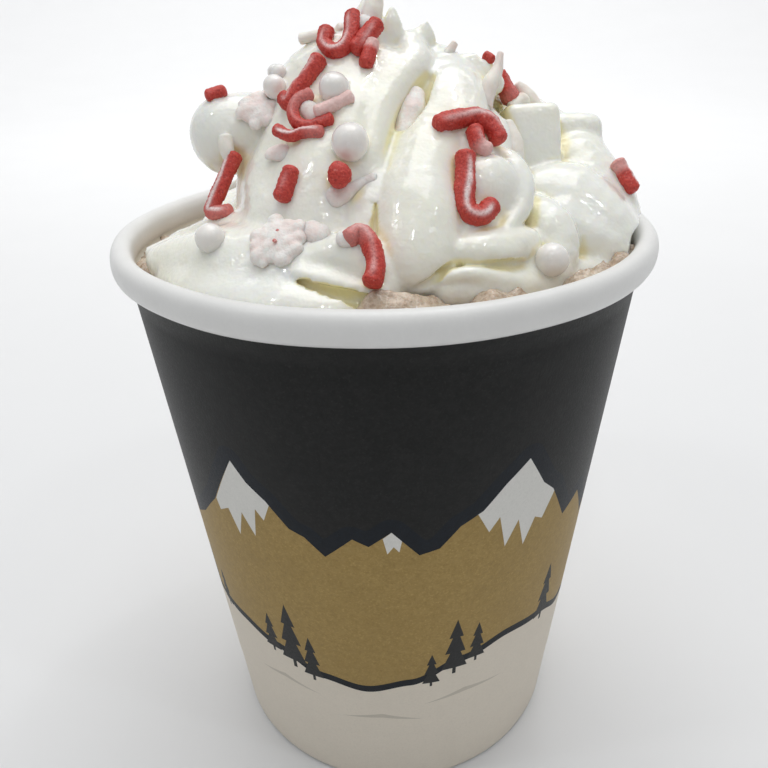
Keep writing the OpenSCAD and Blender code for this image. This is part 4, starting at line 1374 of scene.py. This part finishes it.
drink = build_drink()
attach(drink, "root")
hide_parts("hot_chocolate")

cream, clay, placed = build_cream()
cream.data.materials.append(cream_material())
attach(cream, "root")
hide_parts("whipped_cream")

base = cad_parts["cup_base"]
base_mat = paper("base_board", (0.62, 0.59, 0.54), 0.05, 0.65)
for i in range(len(base.data.materials)):
    base.data.materials[i] = base_mat

canes, pearls, rods, flakes, lumps = placed
lift = LEVEL - 86.0
for piece, slot in ((build_canes(canes), "cane"), (build_pearls(pearls), "pearl"), (build_rods(rods), "flake"), (build_flakes(flakes, lumps), "flake")):
    piece.data.transform(Matrix.Translation((0, 0, lift * MM)))
    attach(piece, "root")

# ------------------------------------------------------- floor, world, light
def build_floor():
    """A flat floor that sweeps up all round into a plain studio wall."""
    prof = [(0.0, -0.0001), (0.3, -0.0001), (0.7, -0.0001), (1.0, -0.0001)]
    prof += [(1.0 + 1.5 * math.sin(math.radians(a)), 1.5 - 1.5 * math.cos(math.radians(a)) - 0.0001) for a in (3, 6, 10, 14, 18, 23, 28, 34, 40, 47, 54, 62, 70, 80, 90)]
    prof += [(2.5, 2.1)]
    n = 96
    verts = [(0, 0, -0.0001)]
    for r, z in prof[1:]:
        verts += [(r * math.cos(2 * math.pi * i / n), r * math.sin(2 * math.pi * i / n), z) for i in range(n)]
    faces = [(0, 1 + i, 1 + (i + 1) % n) for i in range(n)]
    for k in range(len(prof) - 2):
        a, b = 1 + k * n, 1 + (k + 1) * n
        faces += [(a + i, b + i, b + (i + 1) % n, a + (i + 1) % n) for i in range(n)]
    ob = new_object("floor", verts, faces, scale=1.0)
    ob.data.materials.append(floor_material())
    return ob


fl = build_floor()

world = bpy.data.worlds.new("studio")
bpy.context.scene.world = world
world.use_nodes = True
wt = world.node_tree
wt.nodes.clear()
bg = wt.nodes.new("ShaderNodeBackground")
wo = wt.nodes.new("ShaderNodeOutputWorld")
bg.inputs[0].default_value = (0.95, 0.97, 1.0, 1)
bg.inputs[1].default_value = 0.50
wt.links.new(bg.outputs[0], wo.inputs[0])


def light(name, loc, power, size, color=(1, 1, 1), aim=(0, 0, 0.09), size_y=None):
    l = bpy.data.lights.new(name, "AREA")
    l.energy = power
    l.color = color
    l.shape = "RECTANGLE" if size_y else "SQUARE"
    l.size = size
    if size_y:
        l.size_y = size_y
    o = bpy.data.objects.new(name, l)
    o.location = loc
    o.rotation_euler = (Vector(aim) - Vector(loc)).to_track_quat("-Z", "Y").to_euler()
    bpy.context.scene.collection.objects.link(o)
    return o


light("overhead", (0.03, 0.10, 0.85), 2.65, 0.60, (1.0, 0.995, 0.985))
light("window_1", (-0.03, -0.24, 0.42), 0.075, 0.016, (0.95, 0.98, 1.0), size_y=0.04)
light("window_2", (0.20, -0.16, 0.42), 0.080, 0.016, (0.95, 0.98, 1.0), size_y=0.04)
light("window_3", (-0.22, -0.10, 0.40), 0.080, 0.016, (0.95, 0.98, 1.0), size_y=0.04)
light("window_4", (0.10, 0.10, 0.46), 0.070, 0.016, (0.95, 0.98, 1.0), size_y=0.03)
light("backdrop", (0.0, 0.80, 1.35), 21.0, 1.6, (1.0, 1.0, 1.0), aim=(0.0, 2.3, 0.25))

bpy.context.scene.view_settings.view_transform = "Standard"
bpy.context.scene.view_settings.look = "None"
